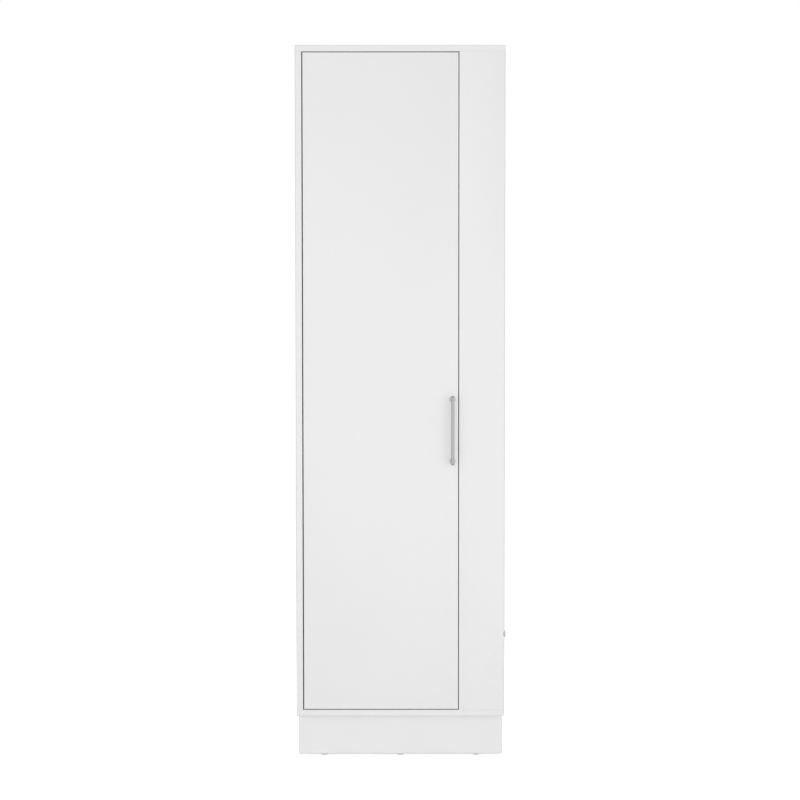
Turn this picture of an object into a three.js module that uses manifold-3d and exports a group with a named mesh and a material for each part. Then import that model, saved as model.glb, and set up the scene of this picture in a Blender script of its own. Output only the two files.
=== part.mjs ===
// Broom cupboard: a tall white board cabinet on a recessed plinth, with one inset door on cup
// hinges in front of its shelves, and an open bay for brooms behind the fixed strip beside the door.
// Millimetres, X to the right, Y to the rear, Z up. The origin is at the middle of the footprint.
import * as THREE from 'three';
import { mergeVertices } from 'three/addons/utils/BufferGeometryUtils.js';
import Module from 'manifold-3d';

const wasm = await Module();
wasm.setup();

// Driving sizes of the carcass
const cabinetWidth = 500;
const cabinetDepth = 350;
const carcassHeight = 1606;
const boardThickness = 15;
const backThickness = 3;
const backInset = 2;
const jointStripWidth = 30;
const jointStripFlange = 1.5;
const jointStripWeb = 1.5;
const fasciaWidth = 109.25;

// Plinth and glides
const plinthHeight = 109;
const plinthRecess = 50;
const plinthSideInset = 0.5;
const plinthRearInset = 10;
const glideHeight = 5;
const glideDiameter = 16;
const glideFlatDiameter = 7;
const glideRimHeight = 1.8;
const glideFromPlinthEnd = 62.8;

// Shelves and their pins
const shelfSetback = 10;
const shelfTopsFromMiddle = [-465, -150, 165, 481];
const fixedShelves = [1, 3];
const pinHoleDiameter = 5.2;
const pinHoleDepth = 10;
const pinHolePitch = 32;
const pinHolesEachWay = 2;
const pinHoleInset = 37;
const pinDiameter = 4.6;
const pinLength = 9;
const pinHeadWidth = 9;
const pinHeadDepth = 8;
const pinHeadRise = 2.5;

// Door, with the gaps around it
const doorGap = 2.25;
const hingeSideGap = 2.75;
const closingSideGap = 1.9;

// Bow handle on the door
const handleLength = 164;
const handleHeightAboveBottom = 675.5;
const handleFromDoorEdge = 14.3;
const handleReach = 30;
const gripWidth = 7.25;
const gripThickness = 6.5;
const gripEndRadius = 5;
const footDiameter = 15.5;
const footRimHeight = 1.5;
const footFlareHeight = 7;
const postDiameter = 7;
const handleScrewDiameter = 4;
const handleScrewHeadDiameter = 8;
const handleScrewHeadHeight = 2.5;
const handleScrewEngagement = 9;

// Cup hinges
const hingeFromDoorEnd = 100;
const cupBoreDiameter = 35;
const cupBoreDepth = 11.5;
const cupEdgeDistance = 22.5;
const cupFloor = 0.75;
const cupFlangeThickness = 1;
const cupFlangeDiameter = 37;
const cupWingLength = 52;
const cupWingWidth = 20;
const hingePinFromEdge = 11;
const hingePinFromFront = 7.5;
const hingePinDiameter = 2.5;
const hingePocketWidth = 17;
const hingePocketReach = 23;
const hingeArmWidth = 14;
const hingeArmThickness = 2.5;
const hingeEyeWall = 0.85;
const swanNeckReach = 18;
const swanNeckInnerBend = 5;
const swanNeckOuterBend = 6;
const swanNeckDepth = 18;
const swanNeckWallBend = 5.25;
const hingeArmEnd = 70;
const hingePlateThickness = 2;
const hingePlateStart = 26;
const hingePlateEnd = 66;
const hingePlateHeight = 40;

// Magnetic catch under the lower fixed shelf
const catchWidth = 46;
const catchDepth = 30;
const catchHeight = 13;
const catchFromDivider = 12;
const catchGap = 0.4;
const strikeWidth = 40;
const strikeHeight = 12;
const strikeThickness = 1.25;

// Broom clips and retaining rail of the side bay
const clipCount = 4;
const clipPitch = 75;
const clipBelowCeiling = 205;
const clipLength = 20;
const clipInnerDiameter = 24;
const clipWall = 2.5;
const clipBaseThickness = 3;
const clipBaseWidth = 22;
const clipMouthHalfAngle = THREE.MathUtils.degToRad(42);
const clipLipDiameter = 4;
const railHeightAboveBottom = 183;
const railDepth = 11.5;
const railThickness = 4;
const railLetIn = 1.5;
const railLugRise = 5;
const railLugTip = 0.75;
const railScrewDiameter = 3.5;
const railScrewHeadDiameter = 7;
const railScrewLength = 24;

// Clearance between pieces cut to fit each other, and the overrun of every cutting body
const fitClearance = 0.3;
const overrun = 2;

// Facets of large and small round pieces, and steps of a curved edge
const smoothSides = 24;
const holeSides = 12;
const curveSteps = 4;

// Planes of the carcass
const left = -cabinetWidth / 2;
const right = cabinetWidth / 2;
const front = -cabinetDepth / 2;
const rear = cabinetDepth / 2;
const backFace = rear - backThickness;
const underside = glideHeight + plinthHeight;
const top = underside + carcassHeight;
const floorFace = underside + boardThickness;
const ceilingFace = top - boardThickness;
const insideMiddle = (floorFace + ceilingFace) / 2;
const leftInner = left + boardThickness;
const fasciaLeft = right - fasciaWidth;
const dividerRight = fasciaLeft + boardThickness;
const doorRear = front + boardThickness;
const rearBoardFront = backFace - boardThickness;
const shelfFront = doorRear + shelfSetback;
const railProud = railThickness - railLetIn;

// Edges of the door
const doorLeft = leftInner + hingeSideGap;
const doorRight = fasciaLeft - closingSideGap;
const doorBottom = floorFace + doorGap;
const doorTop = ceilingFace - doorGap;

// Hinge axis, seen from above
const hingeX = doorLeft + hingePinFromEdge;
const hingeY = front + hingePinFromFront;
const hingeHeights = [doorBottom + hingeFromDoorEnd, insideMiddle, doorTop - hingeFromDoorEnd];
const hingeNames = ['lower', 'middle', 'upper'];

// Shelf tops, and the numbers of the shelves that lie on pins
const shelfTops = shelfTopsFromMiddle.map((rise) => insideMiddle + rise);
const looseShelves = shelfTops.map((_, index) => index).filter((index) => !fixedShelves.includes(index));

const finishes = {
  whiteBoard: { color: 0xebebeb, roughness: 0.45, metalness: 0 },
  backSheet: { color: 0xe6e6e4, roughness: 0.6, metalness: 0 },
  satinMetal: { color: 0xb6b6b6, roughness: 0.35, metalness: 1 },
  hingeSteel: { color: 0xa8a9ab, roughness: 0.3, metalness: 1 },
  greyPlastic: { color: 0x9a9a9a, roughness: 0.5, metalness: 0 },
  palePlastic: { color: 0xdcdcda, roughness: 0.5, metalness: 0 },
};

const cupboard = new THREE.Group();

// Adds one named piece to the cupboard
function addPiece(name, geometry, finish) {
  const piece = new THREE.Mesh(geometry, new THREE.MeshStandardMaterial(finishes[finish]));
  piece.name = name;
  cupboard.add(piece);
  return piece;
}

// A block between two opposite corners
function block(low, high) {
  const size = high.map((value, axis) => value - low[axis]);
  const centre = high.map((value, axis) => (value + low[axis]) / 2);
  return new THREE.BoxGeometry(...size).translate(...centre);
}

// Turns a closed geometry into a solid that can be cut and joined
function solid(geometry) {
  const bare = geometry.clone();
  bare.deleteAttribute('normal');
  bare.deleteAttribute('uv');
  const merged = mergeVertices(bare);
  const vertProperties = new Float32Array(merged.attributes.position.array);
  const triVerts = new Uint32Array(merged.index.array);
  return new wasm.Manifold(new wasm.Mesh({ numProp: 3, vertProperties, triVerts }));
}

// Turns a solid back into a geometry
function geometryOf(body) {
  const mesh = body.getMesh();
  const geometry = new THREE.BufferGeometry();
  const positions = new Float32Array(mesh.vertProperties);
  geometry.setAttribute('position', new THREE.BufferAttribute(positions, mesh.numProp));
  geometry.setIndex(new THREE.BufferAttribute(new Uint32Array(mesh.triVerts), 1));
  geometry.computeVertexNormals();
  return geometry;
}

// Cuts a list of geometries out of a geometry
function cut(geometry, cutters) {
  return geometryOf(cutters.reduce((body, cutter) => body.subtract(solid(cutter)), solid(geometry)));
}

// Joins a list of geometries into one
function join(geometries) {
  const [first, ...others] = geometries.map(solid);
  return geometryOf(others.reduce((body, other) => body.add(other), first));
}

// A round bar along X, Y or Z from a start point
function roundBar(axis, start, length, diameter, sides) {
  const bar = new THREE.CylinderGeometry(diameter / 2, diameter / 2, length, sides);
  bar.translate(0, length / 2, 0);
  if (axis === 'x') bar.rotateZ(-Math.PI / 2);
  if (axis === 'z') bar.rotateX(Math.PI / 2);
  return bar.translate(...start);
}

// An outline drawn in the YZ plane, drawn out along X
function alongX(outline, length, curveSegments) {
  const geometry = new THREE.ExtrudeGeometry(outline, { depth: length, bevelEnabled: false, curveSegments });
  const basis = new THREE.Matrix4().makeBasis(
    new THREE.Vector3(0, 1, 0),
    new THREE.Vector3(0, 0, 1),
    new THREE.Vector3(1, 0, 0),
  );
  return geometry.applyMatrix4(basis);
}

// An outline drawn in the XY plane, drawn out along Z
function alongZ(outline, length, curveSegments) {
  return new THREE.ExtrudeGeometry(outline, { depth: length, bevelEnabled: false, curveSegments });
}

// An outline drawn in the ZX plane, drawn out along Y
function alongY(outline, length) {
  const geometry = new THREE.ExtrudeGeometry(outline, { depth: length, bevelEnabled: false });
  const basis = new THREE.Matrix4().makeBasis(
    new THREE.Vector3(0, 0, 1),
    new THREE.Vector3(1, 0, 0),
    new THREE.Vector3(0, 1, 0),
  );
  return geometry.applyMatrix4(basis);
}

// A closed outline through a list of points
function polygon(points) {
  return new THREE.Shape(points.map(([across, up]) => new THREE.Vector2(across, up)));
}

// Top and bottom boards run the full width, and the upright boards stand between them
function addCarcass() {
  const holes = pinHoleHeights();
  const leftSide = block([left, front, floorFace], [leftInner, backFace, ceilingFace]);
  const divider = block([fasciaLeft, doorRear, floorFace], [dividerRight, rearBoardFront, ceilingFace]);
  const leftHoles = pinHoles(leftInner - pinHoleDepth, holes);
  const dividerHoles = pinHoles(fasciaLeft - overrun, holes);
  addPiece('left_side_panel', cut(leftSide, leftHoles), 'whiteBoard');
  addPiece('divider_panel', cut(divider, dividerHoles), 'whiteBoard');
  addPiece('top_panel', block([left, front, ceilingFace], [right, backFace, top]), 'whiteBoard');
  addPiece('bottom_panel', block([left, front, underside], [right, backFace, floorFace]), 'whiteBoard');
}

// Heights of the pin holes around each loose shelf
function pinHoleHeights() {
  const steps = Array.from({ length: 2 * pinHolesEachWay + 1 }, (_, index) => index - pinHolesEachWay);
  return looseShelves.flatMap((shelf) => steps.map((step) => pinHeight(shelf) + step * pinHolePitch));
}

// Height of the pins that carry a loose shelf
function pinHeight(shelf) {
  return shelfTops[shelf] - boardThickness - pinHeadRise;
}

// Depths of the front and the rear row of pins
function pinRows() {
  return [shelfFront + pinHoleInset, backFace - pinHoleInset];
}

// Blind holes for shelf pins, drilled along X from a start plane
function pinHoles(startX, heights) {
  const length = pinHoleDepth + overrun;
  return pinRows().flatMap((y) =>
    heights.map((z) => roundBar('x', [startX, y, z], length, pinHoleDiameter, holeSides)),
  );
}

// Fixed strip beside the door, and the board behind it at the rear of the broom bay
function addBayBoards() {
  const strip = block([fasciaLeft, front, floorFace], [right, doorRear, ceilingFace]);
  const rearBoard = block([fasciaLeft, rearBoardFront, floorFace], [right, backFace, ceilingFace]);
  addPiece('front_fascia', cut(strip, railSeat(front)), 'whiteBoard');
  addPiece('rear_board', cut(rearBoard, railSeat(rearBoardFront)), 'whiteBoard');
}

// Seat and pilot hole for one end of the rail, in the edge of a board that starts at startY
function railSeat(startY) {
  const [lowZ, highZ] = railSpan();
  const notch = block(
    [right - railLetIn, startY - overrun, lowZ],
    [right + overrun, startY + boardThickness + overrun, highZ],
  );
  const screwY = startY + boardThickness / 2;
  const screwX = right + railProud - railScrewLength - fitClearance;
  const pilotDiameter = railScrewDiameter + 2 * fitClearance;
  const pilot = roundBar('x', [screwX, screwY, railCentre()], railScrewLength, pilotDiameter, holeSides);
  return [notch, pilot];
}

// Middle height of the rail
function railCentre() {
  return floorFace + railHeightAboveBottom;
}

// Lower and upper face of the rail
function railSpan() {
  return [railCentre() - railDepth / 2, railCentre() + railDepth / 2];
}

// Thin back in two halves, joined by a T strip across the shelf compartment
function addBack() {
  const middle = underside + carcassHeight / 2;
  const webHalf = jointStripWeb / 2;
  const flangeHalf = jointStripWidth / 2;
  const backLeft = left + backInset;
  const backRight = right - backInset;
  const lower = block([backLeft, backFace, underside + backInset], [backRight, rear, middle - webHalf]);
  const upper = block([backLeft, backFace, middle + webHalf], [backRight, rear, top - backInset]);
  addPiece('back_panel_lower', lower, 'backSheet');
  addPiece('back_panel_upper', upper, 'backSheet');
  const flangeFace = backFace - jointStripFlange;
  const outline = polygon([
    [flangeFace, middle - flangeHalf],
    [backFace, middle - flangeHalf],
    [backFace, middle - webHalf],
    [rear, middle - webHalf],
    [rear, middle + webHalf],
    [backFace, middle + webHalf],
    [backFace, middle + flangeHalf],
    [flangeFace, middle + flangeHalf],
  ]);
  const strip = alongX(outline, fasciaLeft - leftInner).translate(leftInner, 0, 0);
  addPiece('back_joint_strip', strip, 'palePlastic');
}

// Recessed plinth: a frame of four boards
function addPlinth() {
  const plinthLeft = left + plinthSideInset;
  const plinthRight = right - plinthSideInset;
  const plinthFront = front + plinthRecess;
  const plinthRear = backFace - plinthRearInset;
  const innerFront = plinthFront + boardThickness;
  const innerRear = plinthRear - boardThickness;
  const leftEnd = plinthLeft + boardThickness;
  const rightEnd = plinthRight - boardThickness;
  const footprints = {
    plinth_front: [plinthLeft, plinthFront, plinthRight, innerFront],
    plinth_rear: [plinthLeft, innerRear, plinthRight, plinthRear],
    plinth_left: [plinthLeft, innerFront, leftEnd, innerRear],
    plinth_right: [rightEnd, innerFront, plinthRight, innerRear],
  };
  for (const [name, [lowX, lowY, highX, highY]] of Object.entries(footprints)) {
    addPiece(name, block([lowX, lowY, glideHeight], [highX, highY, underside]), 'whiteBoard');
  }
  addGlideRow('front', plinthFront + boardThickness / 2);
  addGlideRow('rear', plinthRear - boardThickness / 2);
}

// Three round-bottomed glides under one plinth board
function addGlideRow(row, y) {
  const outermost = cabinetWidth / 2 - plinthSideInset - glideFromPlinthEnd;
  const places = { left: -outermost, middle: 0, right: outermost };
  Object.entries(places).forEach(([side, x]) => {
    addPiece(`glide_${row}_${side}`, glide().translate(x, y, 0), 'palePlastic');
  });
}

// A glide turned about its own axis: a small flat, a rounded shoulder and a straight rim
function glide() {
  const flatRadius = glideFlatDiameter / 2;
  const rimRadius = glideDiameter / 2;
  const shoulderHeight = glideHeight - glideRimHeight;
  const shoulder = new THREE.EllipseCurve(
    flatRadius,
    shoulderHeight,
    rimRadius - flatRadius,
    shoulderHeight,
    -Math.PI / 2,
    0,
  );
  const profile = [
    new THREE.Vector2(0, 0),
    ...shoulder.getPoints(curveSteps),
    new THREE.Vector2(rimRadius, glideHeight),
    new THREE.Vector2(0, glideHeight),
  ];
  return new THREE.LatheGeometry(profile, smoothSides).rotateX(Math.PI / 2);
}

// Shelves behind the door: fixed ones and ones that lie on four pins each
function addShelves() {
  shelfTops.forEach((shelfTop, index) => {
    const loose = looseShelves.includes(index);
    const spare = loose ? fitClearance : 0;
    const low = [leftInner + spare, shelfFront, shelfTop - boardThickness];
    const high = [fasciaLeft - spare, backFace - jointStripFlange - spare, shelfTop];
    addPiece(`shelf_${index + 1}_${loose ? 'loose' : 'fixed'}`, block(low, high), 'whiteBoard');
    if (loose) addShelfPins(index);
  });
}

// Four plug-in pins under one loose shelf
function addShelfPins(shelf) {
  const z = pinHeight(shelf);
  const rows = ['front', 'rear'];
  pinRows().forEach((y, row) => {
    const leftPin = shelfPin().translate(leftInner, y, z);
    const rightPin = shelfPin().rotateZ(Math.PI).translate(fasciaLeft, y, z);
    addPiece(`shelf_${shelf + 1}_pin_${rows[row]}_left`, leftPin, 'palePlastic');
    addPiece(`shelf_${shelf + 1}_pin_${rows[row]}_right`, rightPin, 'palePlastic');
  });
}

// A pin at the origin: a flat-topped head towards +X and a round peg towards -X
function shelfPin() {
  const radius = pinHeadWidth / 2;
  const outline = new THREE.Shape();
  outline.moveTo(radius, 0);
  outline.lineTo(radius, pinHeadRise);
  outline.lineTo(-radius, pinHeadRise);
  outline.lineTo(-radius, 0);
  outline.absarc(0, 0, radius, Math.PI, 2 * Math.PI, false);
  const head = alongX(outline, pinHeadDepth, holeSides);
  const peg = roundBar('x', [-pinLength, 0, 0], pinLength + pinHeadDepth / 2, pinDiameter, holeSides);
  return join([head, peg]);
}

// Door board with three cup bores in its rear face and two handle screw holes
function addDoor() {
  const board = block([doorLeft, front, doorBottom], [doorRight, doorRear, doorTop]);
  const holes = [...hingeHeights.map(cupBore), ...footHeights().map(handleHole)];
  addPiece('door_panel', cut(board, holes), 'whiteBoard');
}

// Blind bore for a hinge cup, from the rear face of the door
function cupBore(z) {
  const start = [doorLeft + cupEdgeDistance, doorRear - cupBoreDepth, z];
  return roundBar('y', start, cupBoreDepth + overrun, cupBoreDiameter, smoothSides);
}

// Through hole for a handle screw
function handleHole(z) {
  const diameter = handleScrewDiameter + 2 * fitClearance;
  return roundBar('y', [handleX(), front - overrun, z], boardThickness + 2 * overrun, diameter, holeSides);
}

// Place of the handle across the door
function handleX() {
  return doorRight - handleFromDoorEdge;
}

// Heights of the two handle feet
function footHeights() {
  const centre = floorFace + handleHeightAboveBottom;
  const half = (handleLength - footDiameter) / 2;
  return [centre - half, centre + half];
}

// Bow handle: a bar, two flared feet, and the screws that hold them from inside the door
function addHandle() {
  const gripFront = front - handleReach;
  const gripRear = gripFront + gripThickness;
  const gripBottom = floorFace + handleHeightAboveBottom - handleLength / 2;
  const grip = alongX(gripOutline(), gripWidth, curveSteps);
  grip.translate(handleX() - gripWidth / 2, gripFront, gripBottom);
  addPiece('handle_grip', grip, 'satinMetal');
  const names = ['lower', 'upper'];
  footHeights().forEach((z, index) => {
    const post = handlePost(front - gripRear).translate(handleX(), front, z);
    addPiece(`handle_post_${names[index]}`, post, 'satinMetal');
    addPiece(`handle_screw_${names[index]}`, handleScrew().translate(handleX(), doorRear, z), 'hingeSteel');
  });
}

// The grip seen from its side, with its two front corners rounded
function gripOutline() {
  const outline = new THREE.Shape();
  outline.moveTo(gripEndRadius, 0);
  outline.lineTo(gripThickness, 0);
  outline.lineTo(gripThickness, handleLength);
  outline.lineTo(gripEndRadius, handleLength);
  outline.absarc(gripEndRadius, handleLength - gripEndRadius, gripEndRadius, Math.PI / 2, Math.PI, false);
  outline.absarc(gripEndRadius, gripEndRadius, gripEndRadius, Math.PI, 1.5 * Math.PI, false);
  return outline;
}

// A flared foot standing on the XZ plane towards -Y, with a blind screw hole in its base
function handlePost(height) {
  const footRadius = footDiameter / 2;
  const postRadius = postDiameter / 2;
  const flare = new THREE.EllipseCurve(
    footRadius,
    footFlareHeight,
    footRadius - postRadius,
    footFlareHeight - footRimHeight,
    1.5 * Math.PI,
    Math.PI,
    true,
  );
  const profile = [
    new THREE.Vector2(0, 0),
    new THREE.Vector2(footRadius, 0),
    ...flare.getPoints(curveSteps + 1),
    new THREE.Vector2(postRadius, height),
    new THREE.Vector2(0, height),
  ];
  const post = new THREE.LatheGeometry(profile, smoothSides).rotateX(Math.PI);
  const holeDepth = handleScrewEngagement + fitClearance;
  const holeDiameter = handleScrewDiameter + 2 * fitClearance;
  return cut(post, [roundBar('y', [0, -holeDepth, 0], holeDepth + overrun, holeDiameter, holeSides)]);
}

// A screw with its head seated on the XZ plane towards +Y and its shank towards -Y
function handleScrew() {
  const shankLength = boardThickness + handleScrewEngagement;
  const head = roundBar('y', [0, 0, 0], handleScrewHeadHeight, handleScrewHeadDiameter, smoothSides);
  const barLength = shankLength + handleScrewHeadHeight / 2;
  const shank = roundBar('y', [0, -shankLength, 0], barLength, handleScrewDiameter, holeSides);
  return join([head, shank]);
}

// Three cup hinges, each with its cup and pin on the door and its arm and plate on the side board
function addHinges() {
  hingeHeights.forEach((z, index) => {
    const name = hingeNames[index];
    addPiece(`hinge_cup_${name}`, hingeCup().translate(hingeX, hingeY, z), 'hingeSteel');
    addPiece(`hinge_pin_${name}`, hingePin().translate(hingeX, hingeY, z), 'hingeSteel');
    addPiece(`hinge_arm_${name}`, hingeArm().translate(hingeX, hingeY, z), 'hingeSteel');
    addPiece(`hinge_plate_${name}`, hingePlate().translate(hingeX, hingeY, z), 'hingeSteel');
  });
}

// Cup with its flange and wings, about the hinge axis, with a pocket for the arm
function hingeCup() {
  const seat = boardThickness - hingePinFromFront;
  const centreX = cupEdgeDistance - hingePinFromEdge;
  const cupDepth = cupBoreDepth - fitClearance;
  const cupBottom = seat - cupDepth;
  const cupDiameter = cupBoreDiameter - 2 * fitClearance;
  const bowlHeight = cupDepth + cupFlangeThickness;
  const bowl = roundBar('y', [centreX, cupBottom, 0], bowlHeight, cupDiameter, smoothSides);
  const flange = roundBar('y', [centreX, seat, 0], cupFlangeThickness, cupFlangeDiameter, smoothSides);
  const wings = block(
    [centreX - cupWingWidth / 2, seat, -cupWingLength / 2],
    [centreX + cupWingWidth / 2, seat + cupFlangeThickness, cupWingLength / 2],
  );
  const pocketStart = hingeEyeDiameter() / 2 + fitClearance;
  const pocket = block(
    [-pocketStart, cupBottom + cupFloor, -hingePocketWidth / 2],
    [hingePocketReach, seat + cupFlangeThickness + overrun, hingePocketWidth / 2],
  );
  return cut(join([bowl, flange, wings]), [pocket]);
}

// Outer diameter of the eye at the end of the arm
function hingeEyeDiameter() {
  return hingePinDiameter + 2 * fitClearance + 2 * hingeEyeWall;
}

// Pin between the side walls of the cup pocket
function hingePin() {
  return roundBar('z', [0, 0, -hingePocketWidth / 2], hingePocketWidth, hingePinDiameter, holeSides);
}

// Swan-neck arm: an eye on the pin, a bend out of the cup and round the door edge, and a leg on the plate
function hingeArm() {
  const half = hingeArmThickness / 2;
  const legX = -(hingePinFromEdge + hingeSideGap) + hingePlateThickness + half;
  const firstX = swanNeckReach - swanNeckInnerBend;
  const secondX = swanNeckReach - swanNeckOuterBend;
  const secondY = swanNeckDepth - swanNeckOuterBend;
  const wallX = legX + swanNeckWallBend;
  const wallY = swanNeckDepth + swanNeckWallBend;
  const outline = new THREE.Shape();
  outline.moveTo(0, -half);
  outline.lineTo(firstX, -half);
  outline.absarc(firstX, swanNeckInnerBend, swanNeckInnerBend + half, -Math.PI / 2, 0, false);
  outline.absarc(secondX, secondY, swanNeckOuterBend + half, 0, Math.PI / 2, false);
  outline.absarc(wallX, wallY, swanNeckWallBend - half, 1.5 * Math.PI, Math.PI, true);
  outline.lineTo(legX + half, hingeArmEnd);
  outline.lineTo(legX - half, hingeArmEnd);
  outline.absarc(wallX, wallY, swanNeckWallBend + half, Math.PI, 1.5 * Math.PI, false);
  outline.absarc(secondX, secondY, swanNeckOuterBend - half, Math.PI / 2, 0, true);
  outline.absarc(firstX, swanNeckInnerBend, swanNeckInnerBend - half, 0, -Math.PI / 2, true);
  outline.lineTo(0, half);
  const bottom = -hingeArmWidth / 2;
  const strap = alongZ(outline, hingeArmWidth, curveSteps).translate(0, 0, bottom);
  const eye = roundBar('z', [0, 0, bottom], hingeArmWidth, hingeEyeDiameter(), smoothSides);
  const boreDiameter = hingePinDiameter + 2 * fitClearance;
  const bore = roundBar('z', [0, 0, bottom - overrun], hingeArmWidth + 2 * overrun, boreDiameter, holeSides);
  return cut(join([strap, eye]), [bore]);
}

// Mounting plate on the side board, under the arm
function hingePlate() {
  const wallX = -(hingePinFromEdge + hingeSideGap);
  return block(
    [wallX, hingePlateStart, -hingePlateHeight / 2],
    [wallX + hingePlateThickness, hingePlateEnd, hingePlateHeight / 2],
  );
}

// Magnetic catch under the lower fixed shelf, and its strike plate on the door
function addCatch() {
  const shelfUnderside = shelfTops[fixedShelves[0]] - boardThickness;
  const catchRight = fasciaLeft - catchFromDivider;
  const catchFront = doorRear + strikeThickness + catchGap;
  const magnet = block(
    [catchRight - catchWidth, catchFront, shelfUnderside - catchHeight],
    [catchRight, catchFront + catchDepth, shelfUnderside],
  );
  addPiece('catch_magnet', magnet, 'palePlastic');
  const middleX = catchRight - catchWidth / 2;
  const middleZ = shelfUnderside - catchHeight / 2;
  const strike = block(
    [middleX - strikeWidth / 2, doorRear, middleZ - strikeHeight / 2],
    [middleX + strikeWidth / 2, doorRear + strikeThickness, middleZ + strikeHeight / 2],
  );
  addPiece('catch_strike', strike, 'hingeSteel');
}

// Row of spring clips for broom handles, on the bay side of the divider
function addBroomClips() {
  const middleY = (doorRear + rearBoardFront) / 2;
  for (let index = 0; index < clipCount; index += 1) {
    const y = middleY + (index - (clipCount - 1) / 2) * clipPitch;
    const z = ceilingFace - clipBelowCeiling;
    addPiece(`broom_clip_${index + 1}`, broomClip().translate(dividerRight, y, z), 'greyPlastic');
  }
}

// A clip on the YZ plane that opens towards +X, centred on its own height
function broomClip() {
  const innerRadius = clipInnerDiameter / 2;
  const outerRadius = innerRadius + clipWall;
  const centreX = clipBaseThickness + innerRadius;
  const ring = new THREE.Shape();
  const lastAngle = 2 * Math.PI - clipMouthHalfAngle;
  ring.absarc(centreX, 0, outerRadius, clipMouthHalfAngle, lastAngle, false);
  ring.absarc(centreX, 0, innerRadius, lastAngle, clipMouthHalfAngle, true);
  const bottom = -clipLength / 2;
  const jaws = alongZ(ring, clipLength, holeSides).translate(0, 0, bottom);
  const base = block([0, -clipBaseWidth / 2, bottom], [clipBaseThickness, clipBaseWidth / 2, clipLength / 2]);
  const lipRadius = innerRadius + clipWall / 2;
  const lipX = centreX + lipRadius * Math.cos(clipMouthHalfAngle);
  const lipY = lipRadius * Math.sin(clipMouthHalfAngle);
  const lips = [-lipY, lipY].map((y) =>
    roundBar('z', [lipX, y, bottom], clipLength, clipLipDiameter, holeSides),
  );
  return join([jaws, base, ...lips]);
}

// Retaining rail across the open side of the bay, let into the edges of the strip and the rear board
function addRail() {
  const [lowZ, highZ] = railSpan();
  const innerX = right - railLetIn;
  const outerX = right + railProud;
  const bar = block([innerX, front, lowZ], [outerX, backFace, highZ]);
  const lugTop = highZ + railLugRise;
  const lug = polygon([
    [highZ - railDepth / 2, right],
    [lugTop, right],
    [lugTop, right + railLugTip],
    [highZ, outerX],
    [highZ - railDepth / 2, outerX],
  ]);
  const lugs = [front, rearBoardFront].map((y) => alongY(lug, boardThickness).translate(0, y, 0));
  const screwYs = [front + boardThickness / 2, backFace - boardThickness / 2];
  const screwHoles = screwYs.map((y) => railScrewHole().translate(0, y, 0));
  const rail = cut(join([bar, ...lugs]), screwHoles);
  addPiece('broom_rail', rail, 'hingeSteel');
  const names = ['front', 'rear'];
  screwYs.forEach((y, index) => {
    addPiece(`rail_screw_${names[index]}`, railScrew().translate(0, y, 0), 'hingeSteel');
  });
}

// A countersunk screw along X with its head flush with the outer face of the rail
function railScrew() {
  return onRailFace([...railScrewProfile(0), new THREE.Vector2(0, 0)]);
}

// The countersunk hole for a rail screw
function railScrewHole() {
  const mouthRadius = railScrewHeadDiameter / 2 + fitClearance;
  const mouth = [new THREE.Vector2(mouthRadius, overrun), new THREE.Vector2(0, overrun)];
  return onRailFace([...railScrewProfile(fitClearance), ...mouth]);
}

// Half outline of a rail screw from its tip to the rim of its head, grown all round
function railScrewProfile(grow) {
  const headRadius = railScrewHeadDiameter / 2 + grow;
  const shankRadius = railScrewDiameter / 2 + grow;
  return [
    new THREE.Vector2(0, -railScrewLength),
    new THREE.Vector2(shankRadius, -railScrewLength),
    new THREE.Vector2(shankRadius, shankRadius - headRadius),
    new THREE.Vector2(headRadius, 0),
  ];
}

// A half outline turned about X, with its zero on the outer face of the rail at mid height
function onRailFace(profile) {
  const turned = new THREE.LatheGeometry(profile, holeSides);
  return turned.rotateZ(-Math.PI / 2).translate(right + railProud, 0, railCentre());
}

addCarcass();
addBayBoards();
addBack();
addPlinth();
addShelves();
addDoor();
addHandle();
addHinges();
addCatch();
addBroomClips();
addRail();

// The handle and the rail stand proud of the boards, and the origin is in the middle of it all
cupboard.position.set(-railProud / 2, handleReach / 2, 0);

export default cupboard;
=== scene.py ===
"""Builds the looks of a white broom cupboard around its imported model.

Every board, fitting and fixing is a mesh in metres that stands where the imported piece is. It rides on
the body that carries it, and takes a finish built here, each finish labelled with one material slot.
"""

import logging
import math
from dataclasses import dataclass, field, replace
from enum import Enum, IntEnum
from itertools import product
from typing import Callable, Iterable, Optional, Sequence

import bmesh
import bpy
from mathutils import Matrix, Vector


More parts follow.
